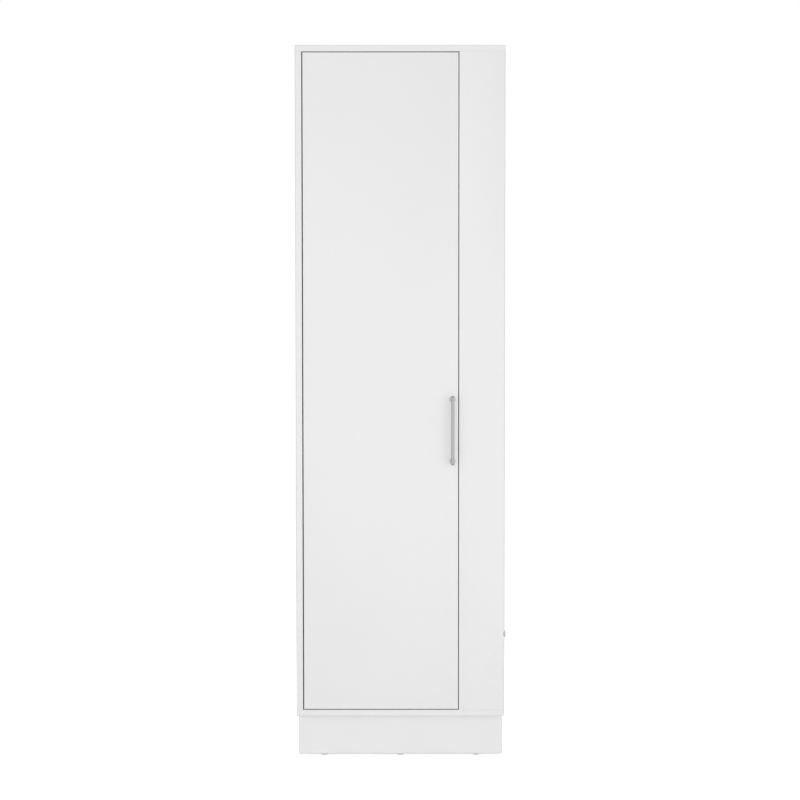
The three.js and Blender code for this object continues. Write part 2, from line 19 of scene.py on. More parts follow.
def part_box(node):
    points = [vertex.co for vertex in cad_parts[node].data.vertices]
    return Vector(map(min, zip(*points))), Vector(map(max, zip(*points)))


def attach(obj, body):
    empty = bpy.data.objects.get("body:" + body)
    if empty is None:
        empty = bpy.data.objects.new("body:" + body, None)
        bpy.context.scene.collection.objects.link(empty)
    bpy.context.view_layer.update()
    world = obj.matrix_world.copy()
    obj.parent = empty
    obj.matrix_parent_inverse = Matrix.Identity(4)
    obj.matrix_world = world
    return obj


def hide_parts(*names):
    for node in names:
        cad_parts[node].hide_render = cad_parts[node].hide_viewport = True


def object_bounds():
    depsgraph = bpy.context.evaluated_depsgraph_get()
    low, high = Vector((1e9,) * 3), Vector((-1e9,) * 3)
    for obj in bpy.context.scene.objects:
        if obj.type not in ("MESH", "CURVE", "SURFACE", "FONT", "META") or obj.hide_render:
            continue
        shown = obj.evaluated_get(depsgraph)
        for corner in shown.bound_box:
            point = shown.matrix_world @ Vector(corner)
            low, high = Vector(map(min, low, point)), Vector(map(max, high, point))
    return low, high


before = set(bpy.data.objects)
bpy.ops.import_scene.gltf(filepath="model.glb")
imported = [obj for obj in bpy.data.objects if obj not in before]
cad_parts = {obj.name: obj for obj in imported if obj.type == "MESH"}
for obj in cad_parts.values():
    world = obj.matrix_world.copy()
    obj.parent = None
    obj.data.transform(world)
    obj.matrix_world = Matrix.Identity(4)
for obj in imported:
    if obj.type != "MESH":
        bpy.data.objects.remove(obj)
CAD_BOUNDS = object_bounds()

logging.basicConfig(level=logging.INFO, format="%(message)s")
LOG = logging.getLogger("broom_cupboard")

MM = 0.001
FULL_TURN = 2 * math.pi
PHOTO_PIXELS = 800
WHITE = (1, 1, 1, 1)
SRGB_STEPS = 255
SRGB_KNEE = 0.04045
SRGB_SLOPE = 12.92
SRGB_OFFSET = 0.055
SRGB_POWER = 2.4

# How near two points are merged in a new mesh, after a cut and after the rounding.
WELD_REACH = 0.0005 * MM
CUT_REACH = 0.01 * MM
ROUND_REACH = 0.002 * MM

# A normal below the first lies along no axis, and a part of it above the second looks to a side.
SLANTED_BELOW = 0.98
LOOKING_ABOVE = 0.1

# The places of a Mix node's two colours among its inputs, and of the mixed colour among its outputs.
MIX_FIRST, MIX_SECOND, MIX_RESULT = 6, 7, 2

SHADING_WEIGHT = 80
DOME_STEP = 15
NAIL_RISE = 0.5 * MM
ROWS = ("front", "rear")
HALVES = ("lower", "upper")

Point2 = tuple[float, float]
Triple = tuple[float, float, float]


class Body(Enum):
    """The bodies that a piece can ride on."""

    CABINET = "cabinet"
    DOOR = "door"


class Slot(Enum):
    """The names of the material slots."""

    BOARD = "white_board"
    BACK = "back_sheet"
    HANDLE = "satin_metal"
    STEEL = "hinge_steel"
    GREY = "grey_plastic"
    PALE = "pale_plastic"


class Side(Enum):
    """The sides of a board, as the outward direction of each."""

    LEFT = (-1, 0, 0)
    RIGHT = (1, 0, 0)
    FRONT = (0, -1, 0)
    REAR = (0, 1, 0)
    UNDER = (0, 0, -1)
    TOP = (0, 0, 1)


class Face(IntEnum):
    """The finishes of a board's faces, in the order of its materials."""

    COATED = 0
    BANDED = 1
    RAW = 2
    # Painted shade: a darker colour on the rounded outer edges along the outline.
    RUBBED = 3


class End(Enum):
    """The ends of a shelf, as the board there and the side of it that faces the shelf."""

    LEFT = ("left_side_panel", Side.RIGHT)
    RIGHT = ("divider_panel", Side.LEFT)

    @property
    def label(self) -> str:
        """Gives the end's name as it stands in the names of the pins."""
        return self.name.lower()

    @property
    def inward(self) -> int:
        """Gives 1 where the shelf lies to the right of the board, and -1 where it lies to the left."""
        return self.value[1].value[0]

    @property
    def face(self) -> float:
        """Gives the place across the cupboard of the board's face towards the shelf."""
        low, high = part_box(self.value[0])
        return high.x if self.inward > 0 else low.x


Spot = tuple[Vector, Side]


def linear(grey: float, tint: Triple = (0, 0, 0)) -> tuple[float, float, float, float]:
    """Turns a display grey from 0 to 255, with a small tint, into a linear colour.

    Args:
        grey: The grey as it is seen.
        tint: What each channel adds to the grey.

    Returns:
        The linear red, green, blue and alpha.
    """
    channels = []
    for shift in tint:
        value = (grey + shift) / SRGB_STEPS
        curved = ((value + SRGB_OFFSET) / (1 + SRGB_OFFSET)) ** SRGB_POWER
        channels.append(value / SRGB_SLOPE if value <= SRGB_KNEE else curved)
    return (*channels, 1.0)


class Tree:
    """A node tree under construction, for a material, a shader group or a geometry group."""

    def __init__(self, tree: bpy.types.NodeTree) -> None:
        """Empties the tree.

        Args:
            tree: The node tree to fill.
        """
        self.tree = tree
        self.tree.nodes.clear()
        self.entry: Optional[bpy.types.Node] = None
        self.exit: Optional[bpy.types.Node] = None

    @classmethod
    def group(cls, name: str, kind: str, inputs: dict[str, tuple], outputs: dict[str, str]) -> "Tree":
        """Makes a node group with named sockets.

        Args:
            name: The group's name.
            kind: ShaderNodeTree or GeometryNodeTree.
            inputs: Socket name to its type and default.
            outputs: Socket name to its type.

        Returns:
            The tree, with its group input and output nodes.
        """
        made = cls(bpy.data.node_groups.new(name, kind))
        for label, (socket_type, default) in inputs.items():
            socket = made.tree.interface.new_socket(label, in_out="INPUT", socket_type=socket_type)
            if default is not None:
                socket.default_value = default
        for label, socket_type in outputs.items():
            made.tree.interface.new_socket(label, in_out="OUTPUT", socket_type=socket_type)
        made.entry = made.add("NodeGroupInput")
        made.exit = made.add("NodeGroupOutput")
        return made

    def add(self, kind: str, values: Optional[dict] = None, **settings: object) -> bpy.types.Node:
        """Adds a node.

        Args:
            kind: The node's type.
            values: Input name or number to a value, or to an output socket that feeds it.
            settings: Properties of the node.

        Returns:
            The new node.
        """
        node = self.tree.nodes.new(kind)
        for key, value in settings.items():
            setattr(node, key, value)
        for key, value in (values or {}).items():
            self.feed(node.inputs[key], value)
        return node

    def feed(self, socket: bpy.types.NodeSocket, value: object) -> None:
        """Links an output to a socket, or sets the socket's value.

        Args:
            socket: The input socket.
            value: An output socket or a plain value.
        """
        if isinstance(value, bpy.types.NodeSocket):
            self.tree.links.new(value, socket)
        else:
            socket.default_value = value

    def math(
        self, operation: str, first: object, second: object = 0.0, clamp: bool = False
    ) -> bpy.types.NodeSocket:
        """Adds a Math node, kept between 0 and 1 where clamp is set, and returns its output."""
        node = self.add("ShaderNodeMath", {0: first, 1: second}, operation=operation, use_clamp=clamp)
        return node.outputs[0]

    def blend(self, share: object, first: object, second: object) -> bpy.types.NodeSocket:
        """Mixes two colours by the share of the second, and returns the result."""
        values = {0: share, MIX_FIRST: first, MIX_SECOND: second}
        return self.add("ShaderNodeMix", values, data_type="RGBA").outputs[MIX_RESULT]

    def mix(self, share: object, first: object, second: object) -> bpy.types.NodeSocket:
        """Mixes two shaders by the share of the second, and returns the result."""
        return self.add("ShaderNodeMixShader", {0: share, 1: first, 2: second}).outputs[0]

    def noise(
        self, place: object, scale: object, detail: float, roughness: float = 0.5
    ) -> bpy.types.NodeSocket:
        """Adds a noise texture and returns its height, from 0 to 1."""
        inputs = {"Vector": place, "Scale": scale, "Detail": detail, "Roughness": roughness}
        return self.add("ShaderNodeTexNoise", inputs).outputs[0]

    def object_place(self) -> bpy.types.NodeSocket:
        """Gives the place on the object."""
        return self.add("ShaderNodeTexCoord").outputs["Object"]

    def stretched(self, place: object) -> bpy.types.NodeSocket:
        """Stretches a place by the group's own input."""
        values = {0: place, 1: self.entry.outputs["Stretch"]}
        return self.add("ShaderNodeVectorMath", values, operation="MULTIPLY").outputs[0]

    def seen(self) -> bpy.types.NodeSocket:
        """Gives 1 for what is seen directly, mirrored or through a surface, and 0 for other light.

        Returns:
            The output socket.
        """
        path = self.add("ShaderNodeLightPath").outputs
        direct = self.math("MAXIMUM", path["Is Camera Ray"], path["Is Glossy Ray"])
        return self.math("MAXIMUM", direct, path["Is Transmission Ray"])

    def surface(self, values: dict) -> None:
        """Adds a Principled surface with these inputs as the material's output."""
        shader = self.add("ShaderNodeBsdfPrincipled", values)
        self.add("ShaderNodeOutputMaterial", {"Surface": shader.outputs[0]})

    def finished_geometry(self, geometry: object, label: str) -> bpy.types.NodeTree:
        """Makes a geometry real, gives it the group's material and sends it out.

        Args:
            geometry: The geometry's output socket.
            label: The name of the group's output.

        Returns:
            The whole tree.
        """
        real = self.add("GeometryNodeRealizeInstances", {0: geometry}).outputs[0]
        values = {"Geometry": real, "Material": self.entry.outputs["Finish"]}
        self.feed(self.exit.inputs[label], self.add("GeometryNodeSetMaterial", values).outputs[0])
        return self.tree


def new_material(name: str) -> tuple[bpy.types.Material, Tree]:
    """Makes a material with an empty node tree.

    Args:
        name: The material's name.

    Returns:
        The material and its tree.
    """
    made = bpy.data.materials.new(name)
    made.use_nodes = True
    return made, Tree(made.node_tree)


def relief_group() -> bpy.types.NodeTree:
    """Makes the shader group for fine relief, such as a coated board's pearl or the brushing of metal.

    Returns:
        The group, which gives a height and a slow variation, both from 0 to 1.
    """
    tree = Tree.group(
        "fine_relief",
        "ShaderNodeTree",
        {
            "Grain per metre": ("NodeSocketFloat", 900.0),
            "Stretch": ("NodeSocketVector", (1.0, 1.0, 1.0)),
            "Patches per metre": ("NodeSocketFloat", 6.0),
        },
        {"Height": "NodeSocketFloat", "Variation": "NodeSocketFloat"},
    )
    source, place = tree.entry.outputs, tree.object_place()
    grain = tree.noise(tree.stretched(place), source["Grain per metre"], detail=3.0, roughness=0.55)
    tree.feed(tree.exit.inputs["Height"], grain)
    tree.feed(tree.exit.inputs["Variation"], tree.noise(place, source["Patches per metre"], detail=2.0))
    return tree.tree


def speckle_group() -> bpy.types.NodeTree:
    """Makes the shader group for chips and fibres, in a raw board edge or a pressed sheet.

    Returns:
        The group, which gives a mask of chips and a height, both from 0 to 1.
    """
    tree = Tree.group(
        "pressed_chips",
        "ShaderNodeTree",
        {
            "Chips per metre": ("NodeSocketFloat", 500.0),
            "Stretch": ("NodeSocketVector", (1.0, 1.0, 1.0)),
            "Contrast": ("NodeSocketFloat", 2.0),
        },
        {"Chips": "NodeSocketFloat", "Height": "NodeSocketFloat"},
    )
    source, place = tree.entry.outputs, tree.stretched(tree.object_place())
    cells = tree.add("ShaderNodeTexVoronoi", {"Vector": place, "Scale": source["Chips per metre"]})
    fibres = tree.noise(place, source["Chips per metre"], detail=4.0)
    grey = tree.add("ShaderNodeRGBToBW", {0: cells.outputs["Color"]}).outputs[0]
    mean = tree.math("MULTIPLY", tree.math("ADD", grey, fibres), 0.5)
    sharp = tree.math("MULTIPLY", tree.math("SUBTRACT", mean, 0.5), source["Contrast"])
    tree.feed(tree.exit.inputs["Chips"], tree.math("ADD", sharp, 0.5, clamp=True))
    tree.feed(tree.exit.inputs["Height"], fibres)
    return tree.tree


@dataclass(frozen=True)
class Coat:
    """A slot with its material, or without one where the faces of a piece have theirs already."""

    slot: Slot
    material: Optional[bpy.types.Material] = None


@dataclass(frozen=True)
class ReliefFinish:
    """A smooth finish with a fine relief and a slow variation: coated board, metal or plastic."""

    name: str
    slot: Slot
    grey: float
    roughness: float
    tint: Triple = (0, 0, 0)
    metallic: float = 0.0
    grain_per_metre: float = 900.0
    stretch: Triple = (1.0, 1.0, 1.0)
    patches_per_metre: float = 6.0
    patch_depth: float = 2.0
    grain_depth: float = 1.0
    roughness_swing: float = 0.08
    relief: float = 0.02 * MM
    relief_strength: float = 0.25
    specular: float = 0.5

    def coat(self, relief: bpy.types.NodeTree) -> Coat:
        """Builds the material.

        Args:
            relief: The fine relief group.

        Returns:
            The new material with its slot.
        """
        made, tree = new_material(self.name)
        inputs = {
            "Grain per metre": self.grain_per_metre,
            "Stretch": self.stretch,
            "Patches per metre": self.patches_per_metre,
        }
        group = tree.add("ShaderNodeGroup", inputs, node_tree=relief)
        height, variation = group.outputs["Height"], group.outputs["Variation"]
        depths = (0, self.patch_depth, self.patch_depth + self.grain_depth)
        plain, deeper, grained = (linear(self.grey - depth, self.tint) for depth in depths)
        patchy = tree.blend(variation, plain, deeper)
        swing = tree.math("MULTIPLY", tree.math("SUBTRACT", height, 0.5), self.roughness_swing)
        values = {"Strength": self.relief_strength, "Distance": self.relief, "Height": height}
        tree.surface({
            "Base Color": tree.blend(tree.math("MULTIPLY", height, variation), patchy, grained),
            "Roughness": tree.math("ADD", swing, self.roughness, clamp=True),
            "Metallic": self.metallic,
            "Specular IOR Level": self.specular,
            "Normal": tree.add("ShaderNodeBump", values).outputs[0],
        })
        return Coat(self.slot, made)


@dataclass(frozen=True)
class PressedFinish:
    """A bare pressed surface: the raw edge of a chipboard or the outside of a thin hardboard."""

    name: str
    slot: Slot
    light: Triple
    dark: Triple
    chips_per_metre: float
    stretch: Triple = (1.0, 1.0, 1.0)
    contrast: float = 2.0
    roughness: float = 0.8
    relief: float = 0.15 * MM
    relief_strength: float = 0.6

    def coat(self, chips: bpy.types.NodeTree) -> Coat:
        """Builds the material.

        Args:
            chips: The pressed chips group.

        Returns:
            The new material with its slot.
        """
        made, tree = new_material(self.name)
        inputs = {
            "Chips per metre": self.chips_per_metre,
            "Stretch": self.stretch,
            "Contrast": self.contrast,
        }
        group = tree.add("ShaderNodeGroup", inputs, node_tree=chips)
        height = group.outputs["Height"]
        values = {"Strength": self.relief_strength, "Distance": self.relief, "Height": height}
        tree.surface({
            "Base Color": tree.blend(group.outputs["Chips"], linear(0, self.dark), linear(0, self.light)),
            "Roughness": self.roughness,
            "Normal": tree.add("ShaderNodeBump", values).outputs[0],
        })
        return Coat(self.slot, made)


class Finishes:
    """The finishes of the cupboard, each built once."""

    def __init__(self) -> None:
        """Builds the shared groups and every finish."""
        relief, chips = relief_group(), speckle_group()
        coated = ReliefFinish("white_melamine", Slot.BOARD, grey=235, roughness=0.42, grain_per_metre=1400)
        # Painted light: the handle's feet are the bar's satin metal made lighter, grey 198 against the bar's
        # 154, for the light on their flares.
        foot = ReliefFinish(
            "satin_foot_metal", Slot.HANDLE, grey=198, roughness=0.46, metallic=1.0, grain_per_metre=2600,
            patch_depth=4.0, grain_depth=8.0, relief_strength=0.15)
        self.board = coated.coat(relief)
        self.band = replace(
            coated, name="white_edge_band", grey=234, roughness=0.34, grain_per_metre=700).coat(relief)
        # Painted light: the plinth is the board's melamine made lighter, grey 238 against 235, to make up
        # for the shade that falls under the body's overhang.
        self.plinth = replace(coated, name="white_plinth_melamine", grey=238).coat(relief)
        # Painted shade: a darker copy of the melamine, grey 196, for the rounded outer edges along the
        # outline. It stands in for the shade that falls on the rounding.
        self.rubbed_edge = replace(
            coated, name="rubbed_band_edge", grey=196, roughness=0.6, grain_per_metre=500,
            patch_depth=10, grain_depth=6, specular=0.25).coat(relief)
        self.inside_sheet = ReliefFinish(
            "white_lacquered_sheet", Slot.BACK, grey=231, roughness=0.5).coat(relief)
        self.handle = replace(
            foot, name="satin_handle_metal", grey=154, roughness=0.42,
            stretch=(1.0, 1.0, 0.04)).coat(relief)
        self.handle_foot = foot.coat(relief)
        self.nickel = ReliefFinish(
            "nickel_plated_steel", Slot.STEEL, grey=186, tint=(1, 0, -2), roughness=0.28, metallic=1.0,
            grain_per_metre=1800, patch_depth=6.0, grain_depth=6.0, relief_strength=0.12).coat(relief)
        self.rail = ReliefFinish(
            "brushed_rail_steel", Slot.STEEL, grey=158, roughness=0.38, metallic=1.0, grain_per_metre=2200,
            stretch=(1.0, 0.03, 1.0), patch_depth=5.0, grain_depth=10.0, relief_strength=0.2).coat(relief)
        self.pale_plastic = ReliefFinish(
            "pale_moulded_plastic", Slot.PALE, grey=228, tint=(1, 0, -2), roughness=0.48,
            grain_per_metre=1100).coat(relief)
        self.grey_plastic = ReliefFinish(
            "grey_moulded_plastic", Slot.GREY, grey=158, roughness=0.5, grain_per_metre=1100,
            grain_depth=4.0).coat(relief)
        self.raw_edge = PressedFinish(
            "raw_chipboard", Slot.BOARD, light=(206, 178, 138), dark=(146, 112, 76),
            chips_per_metre=420).coat(chips)
        self.hardboard = PressedFinish(
            "white_coated_hardboard", Slot.BACK, light=(229, 229, 227), dark=(221, 221, 218),
            chips_per_metre=620, contrast=1.4, roughness=0.6, relief=0.08 * MM).coat(chips)


def new_object(name: str, mesh: bpy.types.Mesh) -> bpy.types.Object:
    """Puts a mesh into the scene under a name.

    Args:
        name: The object's name.
        mesh: Its mesh.

    Returns:
        The new object.
    """
    mesh.name = name
    made = bpy.data.objects.new(name, mesh)
    bpy.context.scene.collection.objects.link(made)
    return made


def mesh_of(work: bpy.types.Object) -> bpy.types.Mesh:
    """Takes the mesh out of a work object.

    Args:
        work: The object, which is removed.

    Returns:
        Its mesh.
    """
    mesh = work.data
    bpy.data.objects.remove(work)
    return mesh


def mesh_from(build: Callable[[bmesh.types.BMesh], None]) -> bpy.types.Mesh:
    """Runs a bmesh recipe and returns the mesh, with its faces turned outwards.

    Args:
        build: A function that fills the bmesh.

    Returns:
        The new mesh.
    """
    shape = bmesh.new()
    build(shape)
    bmesh.ops.remove_doubles(shape, verts=shape.verts, dist=WELD_REACH)
    bmesh.ops.recalc_face_normals(shape, faces=shape.faces)
    mesh = bpy.data.meshes.new("shape")
    shape.to_mesh(mesh)
    shape.free()
    return mesh


def block_mesh(low: Sequence[float], high: Sequence[float]) -> bpy.types.Mesh:
    """Makes a box between two corners.

    Args:
        low: The lowest corner.
        high: The highest corner.

    Returns:
        The new mesh.
    """
    low, high = Vector(low), Vector(high)
    place = Matrix.Translation((low + high) / 2) @ Matrix.Diagonal((*(high - low), 1.0))
    return mesh_from(lambda shape: bmesh.ops.create_cube(shape, size=1.0, matrix=place))


def prism_mesh(outline: Sequence[Point2], start: float, end: float) -> bpy.types.Mesh:
    """Draws a closed outline in the XY plane out along Z.

    Args:
        outline: The points of the outline, in order.
        start: The lower height.
        end: The upper height.

    Returns:
        The new mesh.
    """

    def build(shape: bmesh.types.BMesh) -> None:
        """Makes the two ends and the walls between them.

        Args:
            shape: The bmesh to fill.
        """
        lower, upper = [[shape.verts.new((x, y, z)) for x, y in outline] for z in (start, end)]
        shape.faces.new(lower[::-1])
        shape.faces.new(upper)
        for index in range(len(outline)):
            after = (index + 1) % len(outline)
            shape.faces.new((lower[index], lower[after], upper[after], upper[index]))

    return mesh_from(build)


def turned_mesh(profile: Sequence[Point2], sides: int) -> bpy.types.Mesh:
    """Turns a half outline about Z.

    Args:
        profile: Radius and height of each point, starting and ending on the axis.
        sides: The number of facets.

    Returns:
        The new mesh.
    """
    turns = [(math.cos(FULL_TURN * step / sides), math.sin(FULL_TURN * step / sides))
             for step in range(sides)]

    def build(shape: bmesh.types.BMesh) -> None:
        """Makes one ring for each point, or one corner on the axis, and joins the rings.

        Args:
            shape: The bmesh to fill.
        """
        rings = []
        for radius, height in profile:
            around = turns if radius > 0 else [(0, 0)]
            rings.append([shape.verts.new((radius * x, radius * y, height)) for x, y in around])
        for lower, upper in zip(rings, rings[1:]):
            for step in range(sides):
                after = (step + 1) % sides
                corners = [lower[step % len(lower)], lower[after % len(lower)]]
                corners += [upper[after % len(upper)], upper[step % len(upper)]]
                unique = list(dict.fromkeys(corners))
                if len(unique) > 2:
                    shape.faces.new(unique)

    return mesh_from(build)


def rod_mesh(radius: float, start: float, end: float, sides: int) -> bpy.types.Mesh:
    """Makes a round rod along Z between two heights."""
    return turned_mesh(((0, start), (radius, start), (radius, end), (0, end)), sides)


def cross_mesh(radius: float, shares: Point2, start: float, end: float) -> bpy.types.Mesh:
    """Makes an upright cross that cuts the recess of a screw.

    Args:
        radius: The radius of the screw's head.
        shares: The reach of an arm and half its width, as shares of that radius.
        start: The height of its lower end.
        end: The height of its upper end.

    Returns:
        The new mesh.
    """
    arm, width = (radius * share for share in shares)
    outline, corner = [], [(arm, -width), (arm, width), (width, width)]
    for _ in range(4):
        outline += corner
        corner = [(-y, x) for x, y in corner]
    return prism_mesh(outline, start, end)


def arc(centre: Point2, radius: float, start: float, end: float, steps: int = 12) -> list[Point2]:
    """Lists the points on an arc from one angle to another, in degrees, both ends included."""
    angles = [math.radians(start + (end - start) * step / steps) for step in range(steps + 1)]
    return [(centre[0] + radius * math.cos(angle), centre[1] + radius * math.sin(angle)) for angle in angles]


def dome(radius: float, height: float, wall_share: float) -> list[Point2]:
    """Lists the half outline of a domed head.

    Args:
        radius: The head's radius.
        height: Its height.
        wall_share: The share of the height that its upright wall takes.

    Returns:
        The points from the top of the wall to the axis.
    """
    angles = [math.radians(degrees) for degrees in range(0, 90, DOME_STEP)]
    rises = [wall_share + (1 - wall_share) * math.sin(angle) for angle in angles]
    return [*((radius * math.cos(angle), height * rise) for angle, rise in zip(angles, rises)), (0, height)]


def placed(mesh: bpy.types.Mesh, matrix: Matrix) -> bpy.types.Mesh:
    """Moves and turns a mesh, and returns it.

    Args:
        mesh: The mesh to move.
        matrix: The move.

    Returns:
        The same mesh.
    """
    mesh.transform(matrix)
    if matrix.determinant() < 0:
        mesh.flip_normals()
    mesh.update()
    return mesh


def seat(place: Sequence[float], side: Side) -> Matrix:
    """Gives the move that sets a mesh on a place, with its +Z turned to a side."""
    return Matrix.Translation(place) @ Vector(side.value).to_track_quat("Z", "Y").to_matrix().to_4x4()


def axes(x: Triple, y: Triple, z: Triple, place: Sequence[float] = (0, 0, 0)) -> Matrix:
    """Gives the move that takes X, Y and Z to three directions and the origin to a place."""
    return Matrix.Translation(place) @ Matrix((x, y, z)).transposed().to_4x4()


def centre_of(node: str) -> Vector:
    """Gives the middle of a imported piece's box."""
    low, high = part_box(node)
    return (low + high) / 2


def cleaned(mesh: bpy.types.Mesh, reach: float) -> bpy.types.Mesh:
    """Merges points that nearly meet and drops the slivers between them.

    Args:
        mesh: The mesh to clean.
        reach: How near two points are merged.

    Returns:
        The same mesh.
    """
    shape = bmesh.new()
    shape.from_mesh(mesh)
    bmesh.ops.remove_doubles(shape, verts=shape.verts, dist=reach)
    bmesh.ops.dissolve_degenerate(shape, edges=shape.edges, dist=reach)
    shape.to_mesh(mesh)
    shape.free()
    return mesh


def baked(source: bpy.types.Object, name: str) -> bpy.types.Object:
    """Turns an object with modifiers into a plain mesh object at the origin.

    Args:
        source: The object with its modifiers, which is removed.
        name: The name of the result.

    Returns:
        The plain object.
    """
    source.data.update()
    bpy.context.view_layer.update()
    graph = bpy.context.evaluated_depsgraph_get()
    made = source.evaluated_get(graph)
    mesh = bpy.data.meshes.new_from_object(made, preserve_all_data_layers=True, depsgraph=graph)
    bpy.data.objects.remove(source)
    return new_object(name, mesh)


def cut(
    mesh: bpy.types.Mesh, cutters: Iterable[bpy.types.Mesh], operation: str = "DIFFERENCE"
) -> bpy.types.Mesh:
    """Cuts meshes out of a mesh, or joins them to it.

    Args:
        mesh: The mesh to work on.
        cutters: The meshes that are cut out or joined.
        operation: DIFFERENCE or UNION.

    Returns:
        The result as a new mesh.
    """
    work = new_object("work_piece", mesh)
    tools = [new_object("work_tool", cutter) for cutter in cutters]
    for tool in tools:
        step = work.modifiers.new("cut", "BOOLEAN")
        step.operation = operation
        step.solver = "EXACT"
        step.object = tool
    result = baked(work, "work_result")
    for tool in tools:
        bpy.data.objects.remove(tool)
    return cleaned(mesh_of(result), CUT_REACH)


@dataclass(frozen=True)
class Rounding:
    """How the edges of a piece are rounded.

    The width is in metres, across a number of segments. Edges sharper than the angle in degrees are
    rounded, or else each edge by its own share of the width, where it is weighted.
    """

    width: float
    segments: int = 2
    sharp: float = 30.0
    weighted: bool = False


def softened(name: str, mesh: bpy.types.Mesh, rounding: Rounding) -> bpy.types.Object:
    """Rounds the sharp edges of a mesh and evens out its shading.

    Args:
        name: The name of the result.
        mesh: The mesh to round.
        rounding: How its edges are rounded.

    Returns:
        The plain object.
    """
    mesh.shade_smooth()
    work = new_object("work_piece", mesh)
    bevel = work.modifiers.new("rounding", "BEVEL")
    bevel.width = rounding.width
    bevel.segments = rounding.segments
    bevel.limit_method = "WEIGHT" if rounding.weighted else "ANGLE"
    bevel.angle_limit = math.radians(rounding.sharp)
    bevel.miter_outer = "MITER_ARC"
    bevel.use_clamp_overlap = True
    rounded = cleaned(mesh_of(baked(work, "work_result")), ROUND_REACH)
    work = new_object("work_piece", rounded)
    even = work.modifiers.new("even_shading", "WEIGHTED_NORMAL")
    even.keep_sharp = True
    even.weight = SHADING_WEIGHT
    return baked(work, name)


def dress(piece: bpy.types.Object, body: Body, coat: Coat, nodes: Sequence[str] = ()) -> None:
    """Gives a piece its finish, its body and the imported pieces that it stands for.

    Args:
        piece: The finished piece.
        body: The body that it rides on.
        coat: Its slot and its only material, where its faces don't have theirs already.
        nodes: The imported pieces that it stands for.
    """
    if coat.material is not None:
        piece.data.materials.clear()
        piece.data.materials.append(coat.material)
    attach(piece, body.value)
    if nodes:
        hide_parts(*nodes)
    LOG.info("%s: %d faces on %s", piece.name, len(piece.data.polygons), body.value)


def fitting(
    name: str, mesh: bpy.types.Mesh, rounding: Rounding, body: Body, coat: Coat, node: str
) -> None:
    """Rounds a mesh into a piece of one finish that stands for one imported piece."""
    dress(softened(name, mesh, rounding), body, coat, (node,))


@dataclass
class Board:
    """One coated board with banded edges.

    Its free edges are rounded a little, and those that butt against another board stay nearly sharp.
    """

    node: str
    name: str
    body: Body = Body.CABINET
    rounding: float = 0.9 * MM
    segments: int = 3
    joint_share: float = 0.2
    same_plane: float = 0.01 * MM
    banded: Sequence[Side] = ()
    raw: Sequence[Side] = ()
    joints: Sequence[Side] = ()
    # The sides whose rounded edges take painted shade, a darker colour along the outline.
    rubbed: Sequence[Side] = ()
    cutters: Sequence[bpy.types.Mesh] = ()
    face: Optional[Coat] = None

    def build(self, finishes: Finishes) -> None:
        """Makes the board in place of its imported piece.

        Args:
            finishes: The cupboard's finishes.
        """
        low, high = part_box(self.node)
        mesh = block_mesh(low, high)
        self._weigh_edges(mesh)
        piece = softened(self.name, mesh, Rounding(self.rounding, self.segments, weighted=True))
        if self.cutters:
            piece = new_object(self.name, cut(mesh_of(piece), self.cutters))
        piece.data.materials.clear()
        for coat in (self.face or finishes.board, finishes.band, finishes.raw_edge, finishes.rubbed_edge):
            piece.data.materials.append(coat.material)
        for polygon in piece.data.polygons:
            polygon.material_index = self._finish_of(polygon, low, high)
        dress(piece, self.body, Coat(Slot.BOARD), (self.node,))

    def _weigh_edges(self, mesh: bpy.types.Mesh) -> None:
        """Gives each edge of the plain board its share of the rounding.

        Args:
            mesh: The plain board.
        """
        weights = mesh.attributes.new("bevel_weight_edge", "FLOAT", "EDGE")
        middle = sum((vertex.co for vertex in mesh.vertices), Vector()) / len(mesh.vertices)
        for edge in mesh.edges:
            ends = [mesh.vertices[index].co for index in edge.vertices]
            outward = (ends[0] + ends[1]) / 2 - middle
            butts = any(outward.dot(side.value) > self.same_plane for side in self.joints)
            weights.data[edge.index].value = self.joint_share if butts else 1.0

    def _finish_of(self, polygon: bpy.types.MeshPolygon, low: Vector, high: Vector) -> Face:
        """Chooses the finish of a face by the way it looks and the side that it lies on.

        Args:
            polygon: The face.
            low: The board's lowest corner.
            high: The board's highest corner.

        Returns:
            The finish.
        """
        slanted = max(abs(part) for part in polygon.normal) < SLANTED_BELOW
        # Only the rounded faces on those sides get the painted edge shade.
        rubbed = self.rubbed if slanted else ()
        for finish, sides in ((Face.RAW, self.raw), (Face.RUBBED, rubbed), (Face.BANDED, self.banded)):
            for side in sides:
                outward = Vector(side.value)
                depth = max(outward.dot(low), outward.dot(high)) - outward.dot(polygon.center)
                if outward.dot(polygon.normal) > LOOKING_ABOVE and depth < self.rounding:
                    return finish
        return Face.COATED


@dataclass(frozen=True)
class PinPlace:
    """Where the peg of a shelf pin enters its board. Its head rises above the peg's axis."""

    y: float
    z: float
    rise: float = 2.5 * MM

    @classmethod
    def of(cls, node: str) -> "PinPlace":
        """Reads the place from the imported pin."""
        low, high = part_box(node)
        return cls((low.y + high.y) / 2, high.z - cls.rise)


